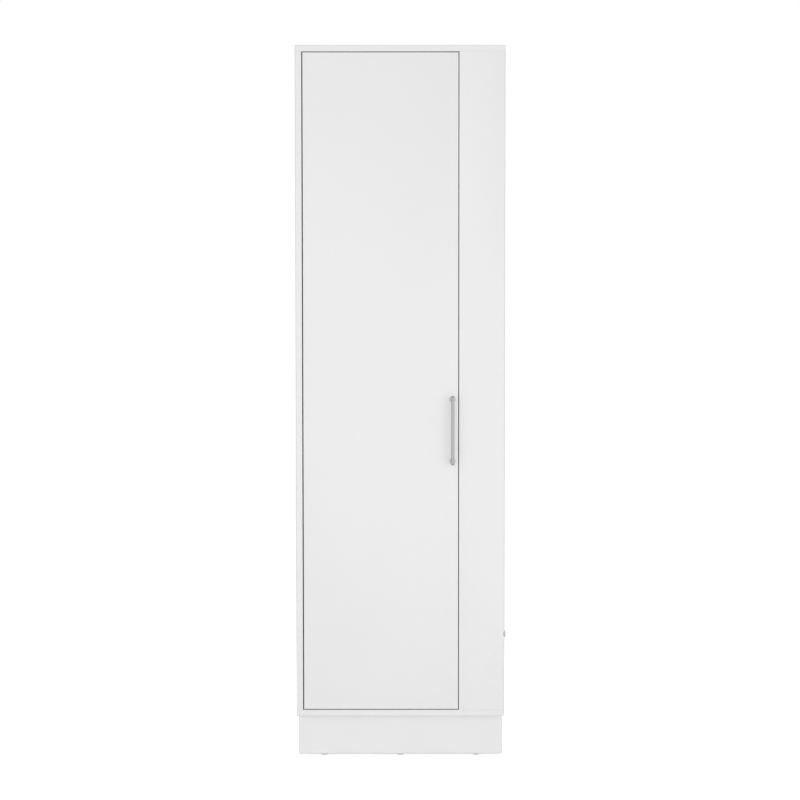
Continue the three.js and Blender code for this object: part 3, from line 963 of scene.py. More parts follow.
@dataclass
class Carcass:
    """The boards of the body, and the thin back in two halves."""

    finishes: Finishes
    pin_hole_diameter: float = 5.2 * MM
    pin_hole_depth: float = 10 * MM
    pin_hole_pitch: float = 32 * MM
    pin_hole_sides: int = 24
    pin_holes_each_way: int = 2
    rail_fit: float = 0.1 * MM
    overrun: float = 2 * MM
    sheet_rounding: Rounding = Rounding(0.25 * MM)
    strip_rounding: Rounding = Rounding(0.2 * MM)
    inside_looks: float = 0.5
    web_setback: float = 1.2 * MM

    def build(self) -> None:
        """Makes every board of the body."""
        ends, sides = (Side.TOP, Side.UNDER), (Side.LEFT, Side.RIGHT)
        upright = {"banded": (Side.FRONT,), "raw": (Side.REAR, *ends), "joints": (Side.REAR, *ends)}
        level = {"banded": (Side.FRONT, *sides), "raw": (Side.REAR,)}
        # The sides listed for the painted edge shade are those on the outline, whose rounded edges get a
        # darker colour.
        bay = {"raw": ends, "joints": ends, "rubbed": (Side.RIGHT,), "cutters": self._rail_notch()}
        boards = (
            Board("left_side_panel", "left_side_board", rubbed=(Side.LEFT,),
                  cutters=self._pin_holes(End.LEFT), **upright),
            Board("divider_panel", "bay_divider_board", cutters=self._pin_holes(End.RIGHT), **upright),
            Board("top_panel", "top_board", rubbed=(Side.TOP, *sides), joints=(Side.UNDER,), **level),
            Board("bottom_panel", "bottom_board", rubbed=(Side.UNDER, *sides), joints=(Side.TOP,), **level),
            Board("front_fascia", "front_strip_board", banded=sides, **bay),
            Board("rear_board", "bay_rear_board", banded=(Side.RIGHT,), **bay),
        )
        for board in boards:
            board.build(self.finishes)
        for half in HALVES:
            self._back_half(half)
        self._joint_strip()

    def _pin_holes(self, end: End) -> list[bpy.types.Mesh]:
        """Makes the cutters for two columns of pin holes round each loose shelf.

        Args:
            end: The end of the shelves that the holes are at.

        Returns:
            One cutter for each hole.
        """
        start = end.face + end.inward * self.overrun
        radius, depth = self.pin_hole_diameter / 2, self.pin_hole_depth + self.overrun
        into = Side.LEFT if end is End.LEFT else Side.RIGHT
        holes = []
        for shelf in Shelves.loose:
            for row in ROWS:
                pin = PinPlace.of(f"shelf_{shelf}_pin_{row}_{end.label}")
                for step in range(-self.pin_holes_each_way, self.pin_holes_each_way + 1):
                    mouth = Vector((start, pin.y, pin.z + step * self.pin_hole_pitch))
                    hole = rod_mesh(radius, 0, depth, self.pin_hole_sides)
                    holes.append(placed(hole, seat(mouth, into)))
        return holes

    def _rail_notch(self) -> list[bpy.types.Mesh]:
        """Makes the cutter for the seat of the rail in a board's edge.

        Returns:
            The one cutter.
        """
        low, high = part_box("broom_rail")
        top = low.z + BroomBay.rail_depth + self.rail_fit
        corner = (low.x - self.rail_fit, low.y - self.overrun, low.z - self.rail_fit)
        return [block_mesh(corner, (high.x + self.overrun, high.y + self.overrun, top))]

    def _back_half(self, half: str) -> None:
        """Makes one half of the back, smooth inside and pressed with a fine screen outside.

        Args:
            half: lower or upper.
        """
        node = f"back_panel_{half}"
        low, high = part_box(node)
        mesh = block_mesh(low, (high.x, high.y - NAIL_RISE, high.z))
        sheet = softened(f"back_sheet_{half}", mesh, self.sheet_rounding)
        sheet.data.materials.append(self.finishes.hardboard.material)
        sheet.data.materials.append(self.finishes.inside_sheet.material)
        for polygon in sheet.data.polygons:
            polygon.material_index = int(polygon.normal.y < -self.inside_looks)
        dress(sheet, Body.CABINET, Coat(Slot.BACK), (node,))

    def _joint_strip(self) -> None:
        """Makes the T strip that joins the two halves of the back."""
        node = "back_joint_strip"
        low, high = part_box(node)
        face, web_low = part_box("back_panel_lower")[0].y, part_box("back_panel_lower")[1].z
        web_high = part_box("back_panel_upper")[0].z
        web_end = high.y - NAIL_RISE - self.web_setback
        outline = [
            (low.y, low.z),
            (face, low.z),
            (face, web_low),
            (web_end, web_low),
            (web_end, web_high),
            (face, web_high),
            (face, high.z),
            (low.y, high.z),
        ]
        mesh = placed(prism_mesh(outline, low.x, high.x), axes((0, 1, 0), (0, 0, 1), (1, 0, 0)))
        coat = self.finishes.pale_plastic
        fitting("back_joint_profile", mesh, self.strip_rounding, Body.CABINET, coat, node)


@dataclass
class Plinth:
    """The recessed frame under the body, and its glides."""

    finishes: Finishes
    glide_flat: float = 3.5 * MM
    glide_rim: float = 1.8 * MM
    glide_steps: int = 10
    glide_sides: int = 48
    glide_rounding: Rounding = Rounding(0.3 * MM, 3, 50)

    def build(self) -> None:
        """Makes the four boards and the six glides."""
        outer = (Side.LEFT, Side.RIGHT)
        butts = {place: (Side.TOP,) for place in ROWS}
        butts |= {place: (Side.TOP, Side.FRONT, Side.REAR) for place in ("left", "right")}
        for place, joints in butts.items():
            # The plinth's faces take the melamine painted lighter, and its outer sides and underside get the
            # painted edge shade.
            board = Board(
                f"plinth_{place}", f"plinth_{place}_board", banded=outer, raw=(Side.TOP,), joints=joints,
                rubbed=(*outer, Side.UNDER), face=self.finishes.plinth)
            board.build(self.finishes)
        for row, place in product(ROWS, ("left", "middle", "right")):
            self._glide(f"glide_{row}_{place}")

    def _glide(self, node: str) -> None:
        """Makes one glide, turned to a rounded shoulder.

        Args:
            node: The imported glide.
        """
        low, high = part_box(node)
        radius, height = (high.x - low.x) / 2, high.z - low.z
        shoulder = height - self.glide_rim
        profile: list[Point2] = [(0, 0), (self.glide_flat, 0)]
        for step in range(1, self.glide_steps + 1):
            angle = math.pi / 2 * step / self.glide_steps
            across = self.glide_flat + (radius - self.glide_flat) * math.sin(angle)
            profile.append((across, shoulder * (1 - math.cos(angle))))
        profile += [(radius, height), (0, height)]
        centre = centre_of(node)
        place = Matrix.Translation((centre.x, centre.y, low.z))
        mesh = placed(turned_mesh(profile, self.glide_sides), place)
        coat = self.finishes.pale_plastic
        fitting(f"{node}_cap", mesh, self.glide_rounding, Body.CABINET, coat, node)


@dataclass
class Shelves:
    """The shelves behind the door, and the pins of the loose ones."""

    finishes: Finishes
    fixed: Sequence[int] = (2, 4)
    loose: Sequence[int] = (1, 3)
    peg_diameter: float = 4.6 * MM
    peg_tip_share: float = 0.8
    peg_sides: int = 32
    pin_rounding: Rounding = Rounding(0.35 * MM)

    def build(self) -> None:
        """Makes the four shelves and the eight pins."""
        for kind, shelves in (("fixed", self.fixed), ("loose", self.loose)):
            for shelf in shelves:
                board = Board(
                    f"shelf_{shelf}_{kind}", f"shelf_{shelf}_board", banded=(Side.FRONT,),
                    raw=(Side.LEFT, Side.RIGHT, Side.REAR))
                board.build(self.finishes)
                if kind == "loose":
                    for row, end in product(ROWS, End):
                        self._pin(shelf, row, end)

    def _pin(self, shelf: int, row: str, end: End) -> None:
        """Makes one plug-in pin with a flat-topped head.

        Args:
            shelf: The number of its shelf.
            row: front or rear.
            end: The end of the shelf that it carries.
        """
        node = f"shelf_{shelf}_pin_{row}_{end.label}"
        low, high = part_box(node)
        place = PinPlace.of(node)
        radius, rise = (high.y - low.y) / 2, PinPlace.rise
        tip_end, head_end = (low.x, high.x)[::end.inward]
        head_depth, peg_length = end.inward * (head_end - end.face), end.inward * (end.face - tip_end)
        head = prism_mesh([(radius, rise), (-radius, rise), *arc((0, 0), radius, 180, 360)], 0, head_depth)
        peg_radius = self.peg_diameter / 2
        tip, overlap = peg_radius * self.peg_tip_share, peg_length + head_depth / 2
        profile = ((0, 0), (tip, 0), (peg_radius, peg_radius - tip), (peg_radius, overlap), (0, overlap))
        peg = turned_mesh(profile, self.peg_sides)
        peg.transform(Matrix.Translation((0, 0, -peg_length)))
        basis = axes((0, end.inward, 0), (0, 0, 1), (end.inward, 0, 0), (end.face, place.y, place.z))
        mesh = placed(cut(head, [peg], "UNION"), basis)
        name, coat = f"shelf_{shelf}_{row}_{end.label}_support", self.finishes.pale_plastic
        fitting(name, mesh, self.pin_rounding, Body.CABINET, coat, node)


def apply_tree(holder: bpy.types.Object, tree: bpy.types.NodeTree, values: dict[str, object]) -> None:
    """Adds a Geometry Nodes modifier and sets its inputs by their identifiers.

    Args:
        holder: The object to carry the modifier.
        tree: The node tree.
        values: Input name to value.
    """
    step = holder.modifiers.new("nodes", "NODES")
    step.node_group = tree
    for item in tree.interface.items_tree:
        if item.item_type == "SOCKET" and item.in_out == "INPUT" and item.name in values:
            step[item.identifier] = values[item.name]


@dataclass
class Door:
    """The door board, its bow handle and the strike plate."""

    finishes: Finishes
    cup_bore: float = 35 * MM
    cup_bore_depth: float = 11.5 * MM
    cup_bore_sides: int = 64
    cup_from_edge: float = 22.5 * MM
    screw_hole: float = 4.6 * MM
    screw_hole_sides: int = 24
    overrun: float = 2 * MM
    foot_rim: float = 1.5 * MM
    foot_flare: float = 7 * MM
    foot_rounding: Rounding = Rounding(0.25 * MM, 2, 60)
    post_diameter: float = 7 * MM
    post_sides: int = 48
    post_steps: int = 64
    grip_end: float = 5 * MM
    grip_steps: int = 16
    grip_rounding: Rounding = Rounding(1.4 * MM, 5, 45)
    screw_shank: float = 4 * MM
    screw_sides: int = 40
    screw_wall_share: float = 0.5
    screw_rounding: Rounding = Rounding(0.1 * MM)
    recess_shares: Point2 = (0.6, 0.15)
    recess_floor_share: float = 0.3
    strike_rounding: Rounding = Rounding(0.4 * MM, 3)

    def build(self) -> None:
        """Makes the door, its handle and the strike plate."""
        edges, holes = (Side.LEFT, Side.RIGHT, Side.TOP, Side.UNDER), self._holes()
        Board("door_panel", "door_board", Body.DOOR, banded=edges, cutters=holes).build(self.finishes)
        self._grip()
        post = self._post_tree()
        for place in HALVES:
            self._post(post, place)
            self._screw(place)
        node, coat = "catch_strike", self.finishes.nickel
        plate = block_mesh(*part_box(node))
        fitting("catch_strike_plate", plate, self.strike_rounding, Body.DOOR, coat, node)

    def _holes(self) -> list[bpy.types.Mesh]:
        """Makes the cutters for the cup bores and the handle screws.

        Returns:
            One cutter for each hole.
        """
        low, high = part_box("door_panel")
        inside, through = high.y + self.overrun, high.y - low.y + 2 * self.overrun
        holes = []
        for place in HingeSet.places:
            mouth = (low.x + self.cup_from_edge, inside, centre_of(f"hinge_pin_{place}").z)
            bore = rod_mesh(self.cup_bore / 2, 0, self.cup_bore_depth + self.overrun, self.cup_bore_sides)
            holes.append(placed(bore, seat(mouth, Side.FRONT)))
        for place in HALVES:
            post = centre_of(f"handle_post_{place}")
            hole = rod_mesh(self.screw_hole / 2, 0, through, self.screw_hole_sides)
            holes.append(placed(hole, seat((post.x, inside, post.z), Side.FRONT)))
        return holes

    def _grip(self) -> None:
        """Makes the bar of the handle, with its front corners and its edges rounded."""
        low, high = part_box("handle_grip")
        depth, length, end = high.y - low.y, high.z - low.z, self.grip_end
        outline = [
            (depth, 0),
            (depth, length),
            *arc((end, length - end), end, 90, 180, self.grip_steps),
            *arc((end, end), end, 180, 270, self.grip_steps),
        ]
        basis = axes((0, 1, 0), (0, 0, 1), (1, 0, 0), low)
        mesh, coat = placed(prism_mesh(outline, 0, high.x - low.x), basis), self.finishes.handle
        fitting("handle_bar", mesh, self.grip_rounding, Body.DOOR, coat, "handle_grip")

    def _post_tree(self) -> bpy.types.NodeTree:
        """Builds the tree that flares a straight bar into a round foot.

        Returns:
            The tree, with named inputs for its sizes.
        """
        sizes = ("Foot radius", "Post radius", "Rim height", "Flare height", "Length")
        inputs = {label: ("NodeSocketFloat", 10 * MM) for label in sizes}
        inputs["Finish"] = ("NodeSocketMaterial", None)
        outputs = {"Post": "NodeSocketGeometry"}
        made = Tree.group("flared_handle_post", "GeometryNodeTree", inputs, outputs)
        foot, post, rim, flare, length = (made.entry.outputs[label] for label in sizes)
        facets = {"Vertices": self.post_sides, "Side Segments": self.post_steps}
        shape = {**facets, "Radius": 1.0, "Depth": length}
        bar = made.add("GeometryNodeMeshCylinder", shape).outputs["Mesh"]
        place = made.add("GeometryNodeInputPosition").outputs[0]
        parts = made.add("ShaderNodeSeparateXYZ", {0: place}).outputs
        height = made.math("ADD", parts["Z"], made.math("MULTIPLY", length, 0.5))
        span = made.math("SUBTRACT", flare, rim)
        left = made.math("DIVIDE", made.math("SUBTRACT", flare, height), span, clamp=True)
        curve = made.math("SQRT", made.math("SUBTRACT", 1.0, made.math("MULTIPLY", left, left)))
        drop = made.math("SUBTRACT", foot, post)
        radius = made.math("SUBTRACT", foot, made.math("MULTIPLY", drop, curve))
        across, along = (made.math("MULTIPLY", parts[axis], radius) for axis in ("X", "Y"))
        target = made.add("ShaderNodeCombineXYZ", {"X": across, "Y": along, "Z": height}).outputs[0]
        moved = made.add("GeometryNodeSetPosition", {"Geometry": bar, "Position": target}).outputs[0]
        return made.finished_geometry(moved, "Post")

    def _post(self, tree: bpy.types.NodeTree, place: str) -> None:
        """Makes one flared foot with its post.

        Args:
            tree: The post's node tree.
            place: lower or upper.
        """
        node, coat = f"handle_post_{place}", self.finishes.handle_foot
        low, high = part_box(node)
        holder = new_object("work_post", bpy.data.meshes.new("post"))
        sizes = {
            "Foot radius": (high.x - low.x) / 2,
            "Post radius": self.post_diameter / 2,
            "Rim height": self.foot_rim,
            "Flare height": self.foot_flare,
            "Length": high.y - low.y,
            "Finish": coat.material,
        }
        apply_tree(holder, tree, sizes)
        centre = centre_of(node)
        mesh = placed(mesh_of(baked(holder, "work_result")), seat((centre.x, high.y, centre.z), Side.FRONT))
        fitting(f"handle_foot_{place}", mesh, self.foot_rounding, Body.DOOR, coat, node)

    def _screw(self, place: str) -> None:
        """Makes one handle screw, with its head inside the door.

        Args:
            place: lower or upper.
        """
        node = f"handle_screw_{place}"
        low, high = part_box(node)
        centre, face = centre_of(node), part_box("door_panel")[1].y
        radius, head = (high.x - low.x) / 2, high.y - face
        shank, length = self.screw_shank / 2, face - low.y
        profile = [(0, -length), (shank, -length), (shank, 0), (radius, 0)]
        profile += dome(radius, head, self.screw_wall_share)
        cross = cross_mesh(radius, self.recess_shares, head * self.recess_floor_share, head * 2)
        mesh = cut(turned_mesh(profile, self.screw_sides), [cross])
        mesh = placed(mesh, seat((centre.x, face, centre.z), Side.REAR))
        name, coat = f"handle_fixing_{place}", self.finishes.nickel
        fitting(name, mesh, self.screw_rounding, Body.DOOR, coat, node)


@dataclass
class HingeSet:
    """The three cup hinges: cup and pin on the door, arm and plate on the side board."""

    finishes: Finishes
    cup_depth: float = 11.2 * MM
    cup_wall: float = 0.8 * MM
    cup_centre: float = 11.5 * MM
    cup_diameter: float = 34.4 * MM
    cup_sides: int = 64
    cup_rounding: Rounding = Rounding(0.3 * MM, 2, 40)
    flange: float = 1 * MM
    flange_diameter: float = 37 * MM
    flange_steps: int = 28
    wing_width: float = 20 * MM
    wing_length: float = 52 * MM
    pocket_start: float = 2.7 * MM
    pocket_reach: float = 23 * MM
    pocket_width: float = 17 * MM
    pin_from_seat: float = 7.5 * MM
    pin_sides: int = 32
    pin_rounding: Rounding = Rounding(0.15 * MM, 2, 50)
    arm_thickness: float = 2.5 * MM
    arm_rounding: Rounding = Rounding(0.3 * MM, 2, 40)
    reach: float = 18 * MM
    inner_bend: float = 5 * MM
    outer_bend: float = 6 * MM
    depth: float = 18 * MM
    wall_bend: float = 5.25 * MM
    arm_end: float = 70 * MM
    eye_diameter: float = 4.8 * MM
    eye_sides: int = 40
    bore_diameter: float = 3.1 * MM
    overrun: float = 2 * MM
    plate_rounding: Rounding = Rounding(0.5 * MM, 3)
    places: Sequence[str] = ("lower", "middle", "upper")

    def build(self) -> None:
        """Makes every piece of the three hinges."""
        for place in self.places:
            axis = Matrix.Translation(centre_of(f"hinge_pin_{place}"))
            plate = block_mesh(*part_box(f"hinge_plate_{place}"))
            pieces = (
                ("cup", "cup", placed(self._cup(), axis), self.cup_rounding, Body.DOOR),
                ("pin", "axle", placed(self._pin(place), axis), self.pin_rounding, Body.DOOR),
                ("arm", "swan_neck", placed(self._arm(place), axis), self.arm_rounding, Body.CABINET),
                ("plate", "base", plate, self.plate_rounding, Body.CABINET),
            )
            for kind, name, mesh, rounding, body in pieces:
                node = f"hinge_{kind}_{place}"
                fitting(f"hinge_{place}_{name}", mesh, rounding, body, self.finishes.nickel, node)

    def _cup(self) -> bpy.types.Mesh:
        """Makes the cup about the hinge axis: a bowl under a winged flange, with a pocket.

        Returns:
            The new mesh.
        """
        bottom, start = self.pin_from_seat - self.cup_depth, self.pin_from_seat
        inside, top = start + self.flange / 2, start + self.flange
        radius, rim = self.cup_diameter / 2, self.flange_diameter / 2
        shoulder = ((radius - self.flange, bottom), (radius, bottom + self.flange))
        bowl = turned_mesh(((0, bottom), *shoulder, (radius, inside), (0, inside)), self.cup_sides)
        across, end = self.wing_width / 2, self.wing_length / 2
        meet = math.degrees(math.acos(across / rim))
        outline = [
            (across, end),
            (-across, end),
            *arc((0, 0), rim, 180 - meet, 180 + meet, self.flange_steps),
            (-across, -end),
            (across, -end),
            *arc((0, 0), rim, -meet, meet, self.flange_steps),
        ]
        flange = prism_mesh(outline, start, top)
        middle = Matrix.Translation((self.cup_centre, 0, 0)) @ Matrix.Rotation(-math.pi / 2, 4, "X")
        half = self.pocket_width / 2
        pocket = block_mesh(
            (-self.pocket_start, bottom + self.cup_wall, -half),
            (self.pocket_reach, top + self.overrun, half))
        return cut(cut(placed(bowl, middle), [placed(flange, middle)], "UNION"), [pocket])

    def _pin(self, place: str) -> bpy.types.Mesh:
        """Makes the pin on the hinge axis.

        Args:
            place: The hinge's place.

        Returns:
            The new mesh.
        """
        low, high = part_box(f"hinge_pin_{place}")
        radius, half = (high.x - low.x) / 2, (high.z - low.z) / 2
        return rod_mesh(radius, -half, half, self.pin_sides)

    def _arm(self, place: str) -> bpy.types.Mesh:
        """Makes the bent arm with its eye on the pin.

        Args:
            place: The hinge's place.

        Returns:
            The new mesh.
        """
        half = self.arm_thickness / 2
        axis = centre_of(f"hinge_pin_{place}")
        low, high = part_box(f"hinge_arm_{place}")
        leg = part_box(f"hinge_plate_{place}")[1].x - axis.x + half
        first = (self.reach - self.inner_bend, self.inner_bend)
        second = (self.reach - self.outer_bend, self.depth - self.outer_bend)
        wall = (leg + self.wall_bend, self.depth + self.wall_bend)
        outline = [
            (0, -half),
            *arc(first, self.inner_bend + half, -90, 0),
            *arc(second, self.outer_bend + half, 0, 90),
            *arc(wall, self.wall_bend - half, 270, 180),
            (leg + half, self.arm_end),
            (leg - half, self.arm_end),
            *arc(wall, self.wall_bend + half, 180, 270),
            *arc(second, self.outer_bend - half, 90, 0),
            *arc(first, self.inner_bend - half, 0, -90),
            (0, half),
        ]
        start, end = low.z - axis.z, high.z - axis.z
        eye = rod_mesh(self.eye_diameter / 2, start, end, self.eye_sides)
        bore = rod_mesh(self.bore_diameter / 2, start - self.overrun, end + self.overrun, self.pin_sides)
        return cut(cut(prism_mesh(outline, start, end), [eye], "UNION"), [bore])


@dataclass
class BroomBay:
    """The clips and the retaining rail of the open side bay."""

    finishes: Finishes
    clip_count: int = 4
    inner_diameter: float = 24 * MM
    wall: float = 2.5 * MM
    base: float = 3 * MM
    base_width: float = 22 * MM
    mouth_half_angle: float = 42.0
    lip_diameter: float = 4 * MM
    lip_back: float = 130.0
    lip_front: float = 50.0
    outer_stop: float = 4.0
    inner_stop: float = 5.0
    outer_steps: int = 28
    inner_steps: int = 44
    clip_rounding: Rounding = Rounding(0.4 * MM, 2, 50)
    rail_depth: float = 11.5 * MM
    rail_let_in: float = 1.5 * MM
    lug_tip: float = 0.75 * MM
    rail_rounding: Rounding = Rounding(0.3 * MM, 2, 25)
    sink_fit: float = 0.2 * MM
    sink_overrun: float = 1 * MM
    screw_shank: float = 3.5 * MM
    screw_sides: int = 40
    screw_rounding: Rounding = Rounding(0.08 * MM)
    recess_depth: float = 1.2 * MM
    recess_shares: Point2 = (0.6, 0.14)

    def build(self) -> None:
        """Makes the clips, the rail and its screws."""
        for number in range(1, self.clip_count + 1):
            self._clip(f"broom_clip_{number}", f"handle_clip_{number}")
        self._rail()
        for place in ROWS:
            self._screw(place)

    def _clip(self, node: str, name: str) -> None:
        """Makes one spring clip from a single closed outline.

        Args:
            node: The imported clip.
            name: The name of the piece.
        """
        low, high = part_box(node)
        inner = self.inner_diameter / 2
        outer, middle = inner + self.wall, inner + self.wall / 2
        centre = (self.base + inner, 0.0)
        meet = math.degrees(math.acos(inner / outer))
        lower, upper = 360 - self.mouth_half_angle, self.mouth_half_angle
        half, lip = self.base_width / 2, self.lip_diameter / 2
        lips = arc(centre, middle, -upper, upper, 1)
        outline = [
            (0, -half),
            (self.base, -half),
            *arc(centre, outer, 180 + meet, lower - self.outer_stop, self.outer_steps),
            *arc(lips[0], lip, lower - self.lip_back, lower + self.lip_front),
            *arc(centre, inner, lower - self.inner_stop, upper + self.inner_stop, self.inner_steps),
            *arc(lips[1], lip, upper - self.lip_front, upper + self.lip_back),
            *arc(centre, outer, upper + self.outer_stop, 180 - meet, self.outer_steps),
            (self.base, half),
            (0, half),
        ]
        place = Matrix.Translation((low.x, (low.y + high.y) / 2, low.z))
        mesh = placed(prism_mesh(outline, 0, high.z - low.z), place)
        fitting(name, mesh, self.clip_rounding, Body.CABINET, self.finishes.grey_plastic, node)

    def _rail(self) -> None:
        """Makes the flat rail with a tapered lug at each end."""
        low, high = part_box("broom_rail")
        board = low.x + self.rail_let_in
        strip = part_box("front_fascia")
        lug_length = strip[1].y - strip[0].y
        top = low.z + self.rail_depth
        middle = top - self.rail_depth / 2
        bar = block_mesh(low, (high.x, high.y, top))
        outline = [
            (middle, board),
            (high.z, board),
            (high.z, board + self.lug_tip),
            (top, high.x),
            (middle, high.x),
        ]
        turn = axes((0, 0, 1), (1, 0, 0), (0, 1, 0))
        starts = (low.y, high.y - lug_length)
        lugs = [placed(prism_mesh(outline, start, start + lug_length), turn) for start in starts]
        sinks = [placed(self._screw_shape(self.sink_fit, self.sink_overrun), self._screw_seat(place))
                 for place in ROWS]
        rail = softened("bay_retaining_rail", cut(cut(bar, lugs, "UNION"), sinks), self.rail_rounding)
        for vertex in rail.data.vertices:
            vertex.co.x = min(vertex.co.x, high.x)
        dress(rail, Body.CABINET, self.finishes.rail, ("broom_rail",))

    def _screw_seat(self, place: str) -> Matrix:
        """Gives the seat of a rail screw, with +Z out of the rail."""
        node = f"rail_screw_{place}"
        return seat((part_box(node)[1].x, *centre_of(node).yz), Side.RIGHT)

    def _screw_radius(self) -> float:
        """Gives the radius of a rail screw's head."""
        low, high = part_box("rail_screw_front")
        return (high.z - low.z) / 2

    def _screw_shape(self, grow: float = 0.0, outreach: float = 0.0) -> bpy.types.Mesh:
        """Makes a countersunk screw along Z with its head at zero.

        Args:
            grow: How much it grows all round.
            outreach: How far its head goes on outwards.

        Returns:
            The new mesh.
        """
        low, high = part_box("rail_screw_front")
        head, shank, end = self._screw_radius() + grow, self.screw_shank / 2 + grow, low.x - high.x
        profile = [(0, end), (shank, end), (shank, shank - head), (head, 0)]
        if outreach:
            profile.append((head, outreach))
        return turned_mesh([*profile, (0, outreach)], self.screw_sides)

    def _screw(self, place: str) -> None:
        """Makes one countersunk rail screw.

        Args:
            place: front or rear.
        """
        depth = self.recess_depth
        cross = cross_mesh(self._screw_radius(), self.recess_shares, -depth, depth)
        mesh = placed(cut(self._screw_shape(), [cross]), self._screw_seat(place))
        name, node = f"rail_fixing_{place}", f"rail_screw_{place}"
        fitting(name, mesh, self.screw_rounding, Body.CABINET, self.finishes.nickel, node)


@dataclass
class Catch:
    """The housing of the magnetic catch, with two slots for its pole plates."""

    finishes: Finishes
    pole_width: float = 1.6 * MM
    pole_offset: float = 3 * MM
    pole_inset: float = 3 * MM
    pole_depth: float = 1 * MM
    rounding: Rounding = Rounding(0.5 * MM, 3)

    def build(self) -> None:
        """Makes the housing."""
        node = "catch_magnet"
        low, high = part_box(node)
        slots = []
        for offset in (-self.pole_offset, self.pole_offset):
            middle = (low.z + high.z) / 2 + offset
            slots.append(block_mesh(
                (low.x + self.pole_inset, low.y - self.pole_depth, middle - self.pole_width / 2),
                (high.x - self.pole_inset, low.y + self.pole_depth, middle + self.pole_width / 2)))
        mesh, coat = cut(block_mesh(low, high), slots), self.finishes.pale_plastic
        fitting("catch_housing", mesh, self.rounding, Body.CABINET, coat, node)


@dataclass
class Heads:
    """The shapes of the small heads on show, each seated on the XY plane as a template."""

    screw_wall_share: float = 0.35
    screw_sides: int = 20
    cam_rim_share: float = 0.4
    cam_sides: int = 28
    nail_top_share: float = 0.8
    nail_sides: int = 12
    recess_floor_share: float = 0.3
    recess_shares: Point2 = (0.62, 0.17)

    def screw(self, diameter: float, height: float) -> bpy.types.Object:
        """Makes a domed screw head with a cross recess."""
        profile = [(0, 0), (diameter / 2, 0), *dome(diameter / 2, height, self.screw_wall_share)]
        return self._recessed(turned_mesh(profile, self.screw_sides), diameter / 2, height)

    def cam(self, diameter: float, height: float) -> bpy.types.Object:
        """Makes a flat cam with a cross recess.

        Args:
            diameter: The cam's diameter.
            height: Its height.

        Returns:
            The template.
        """
        radius, rim = diameter / 2, height * self.cam_rim_share
        profile = [(0, 0), (radius, 0), (radius, height - rim), (radius - rim, height), (0, height)]
        return self._recessed(turned_mesh(profile, self.cam_sides), radius, height)

    def nail(self, diameter: float, height: float) -> bpy.types.Object:
        """Makes a small flat nail head.

        Args:
            diameter: The head's diameter.
            height: Its height.

        Returns:
            The template.
        """
        radius = diameter / 2
        profile = [(0, 0), (radius, 0), (radius * self.nail_top_share, height), (0, height)]
        mesh = turned_mesh(profile, self.nail_sides)
        mesh.shade_flat()
        return new_object("template_head", mesh)

    def _recessed(self, mesh: bpy.types.Mesh, radius: float, height: float) -> bpy.types.Object:
        """Cuts a cross into the top of a head.

        Args:
            mesh: The head.
            radius: Its radius.
            height: Its height.

        Returns:
            The template.
        """
        floor = height * self.recess_floor_share
        made = cut(mesh, [cross_mesh(radius, self.recess_shares, floor, height * 2)])
        made.shade_flat()
        return new_object("template_head", made)


@dataclass(frozen=True)
class FixingSet:
    """One set of like heads: its name, places, shape and size, and the body that it rides on."""

    name: str
    spots: Sequence[Spot]
    shape: Callable[[float, float], bpy.types.Object]
    diameter: float
    height: float
    body: Body = Body.CABINET


@dataclass
class FixingTree:
    """Geometry nodes that set a head on every point of a mesh, turned to the way the point faces."""

    tree: bpy.types.NodeTree = field(init=False)

    def __post_init__(self) -> None:
        """Builds the tree with named inputs."""
        made = Tree.group(
            "fixings_on_points",
            "GeometryNodeTree",
            {
                "Points": ("NodeSocketGeometry", None),
                "Head": ("NodeSocketObject", None),
                "Twist seed": ("NodeSocketInt", 0),
                "Finish": ("NodeSocketMaterial", None),
            },
            {"Fixings": "NodeSocketGeometry"},
        )
        source = made.entry.outputs
        head = made.add("GeometryNodeObjectInfo", {"Object": source["Head"]}).outputs["Geometry"]
        outward = made.add("GeometryNodeInputNamedAttribute", {"Name": "outward"}, data_type="FLOAT_VECTOR")
        turn = made.add("FunctionNodeAlignRotationToVector", {"Vector": outward.outputs[0]}, axis="Z")
        limits = {"Min": 0.0, "Max": FULL_TURN, "Seed": source["Twist seed"]}
        twist = made.add("FunctionNodeRandomValue", limits, data_type="FLOAT")
        angle = next(out for out in twist.outputs if out.enabled)
        spin = made.add("FunctionNodeAxisAngleToRotation", {"Axis": Side.TOP.value, "Angle": angle})
        ways = {0: turn.outputs[0], 1: spin.outputs[0]}
        both = made.add("FunctionNodeRotateRotation", ways, rotation_space="LOCAL").outputs[0]
        values = {"Points": source["Points"], "Instance": head, "Rotation": both}
        copies = made.add("GeometryNodeInstanceOnPoints", values).outputs[0]
        self.tree = made.finished_geometry(copies, "Fixings")

    def place(self, fixings: FixingSet, coat: Coat, seed: int) -> None:
        """Makes one set of heads as a plain piece.

        Args:
            fixings: The set.
            coat: Its finish.
            seed: The seed of the heads' twist.
        """
        mesh = bpy.data.meshes.new("spots")
        mesh.from_pydata([place for place, _ in fixings.spots], [], [])
        ways = mesh.attributes.new("outward", "FLOAT_VECTOR", "POINT")
        for index, (_, side) in enumerate(fixings.spots):
            ways.data[index].vector = side.value
        holder = new_object("work_spots", mesh)
        head = fixings.shape(fixings.diameter, fixings.height)
        apply_tree(holder, self.tree, {"Head": head, "Twist seed": seed, "Finish": coat.material})
        made = baked(holder, fixings.name)
        bpy.data.objects.remove(head)
        dress(made, fixings.body, coat)


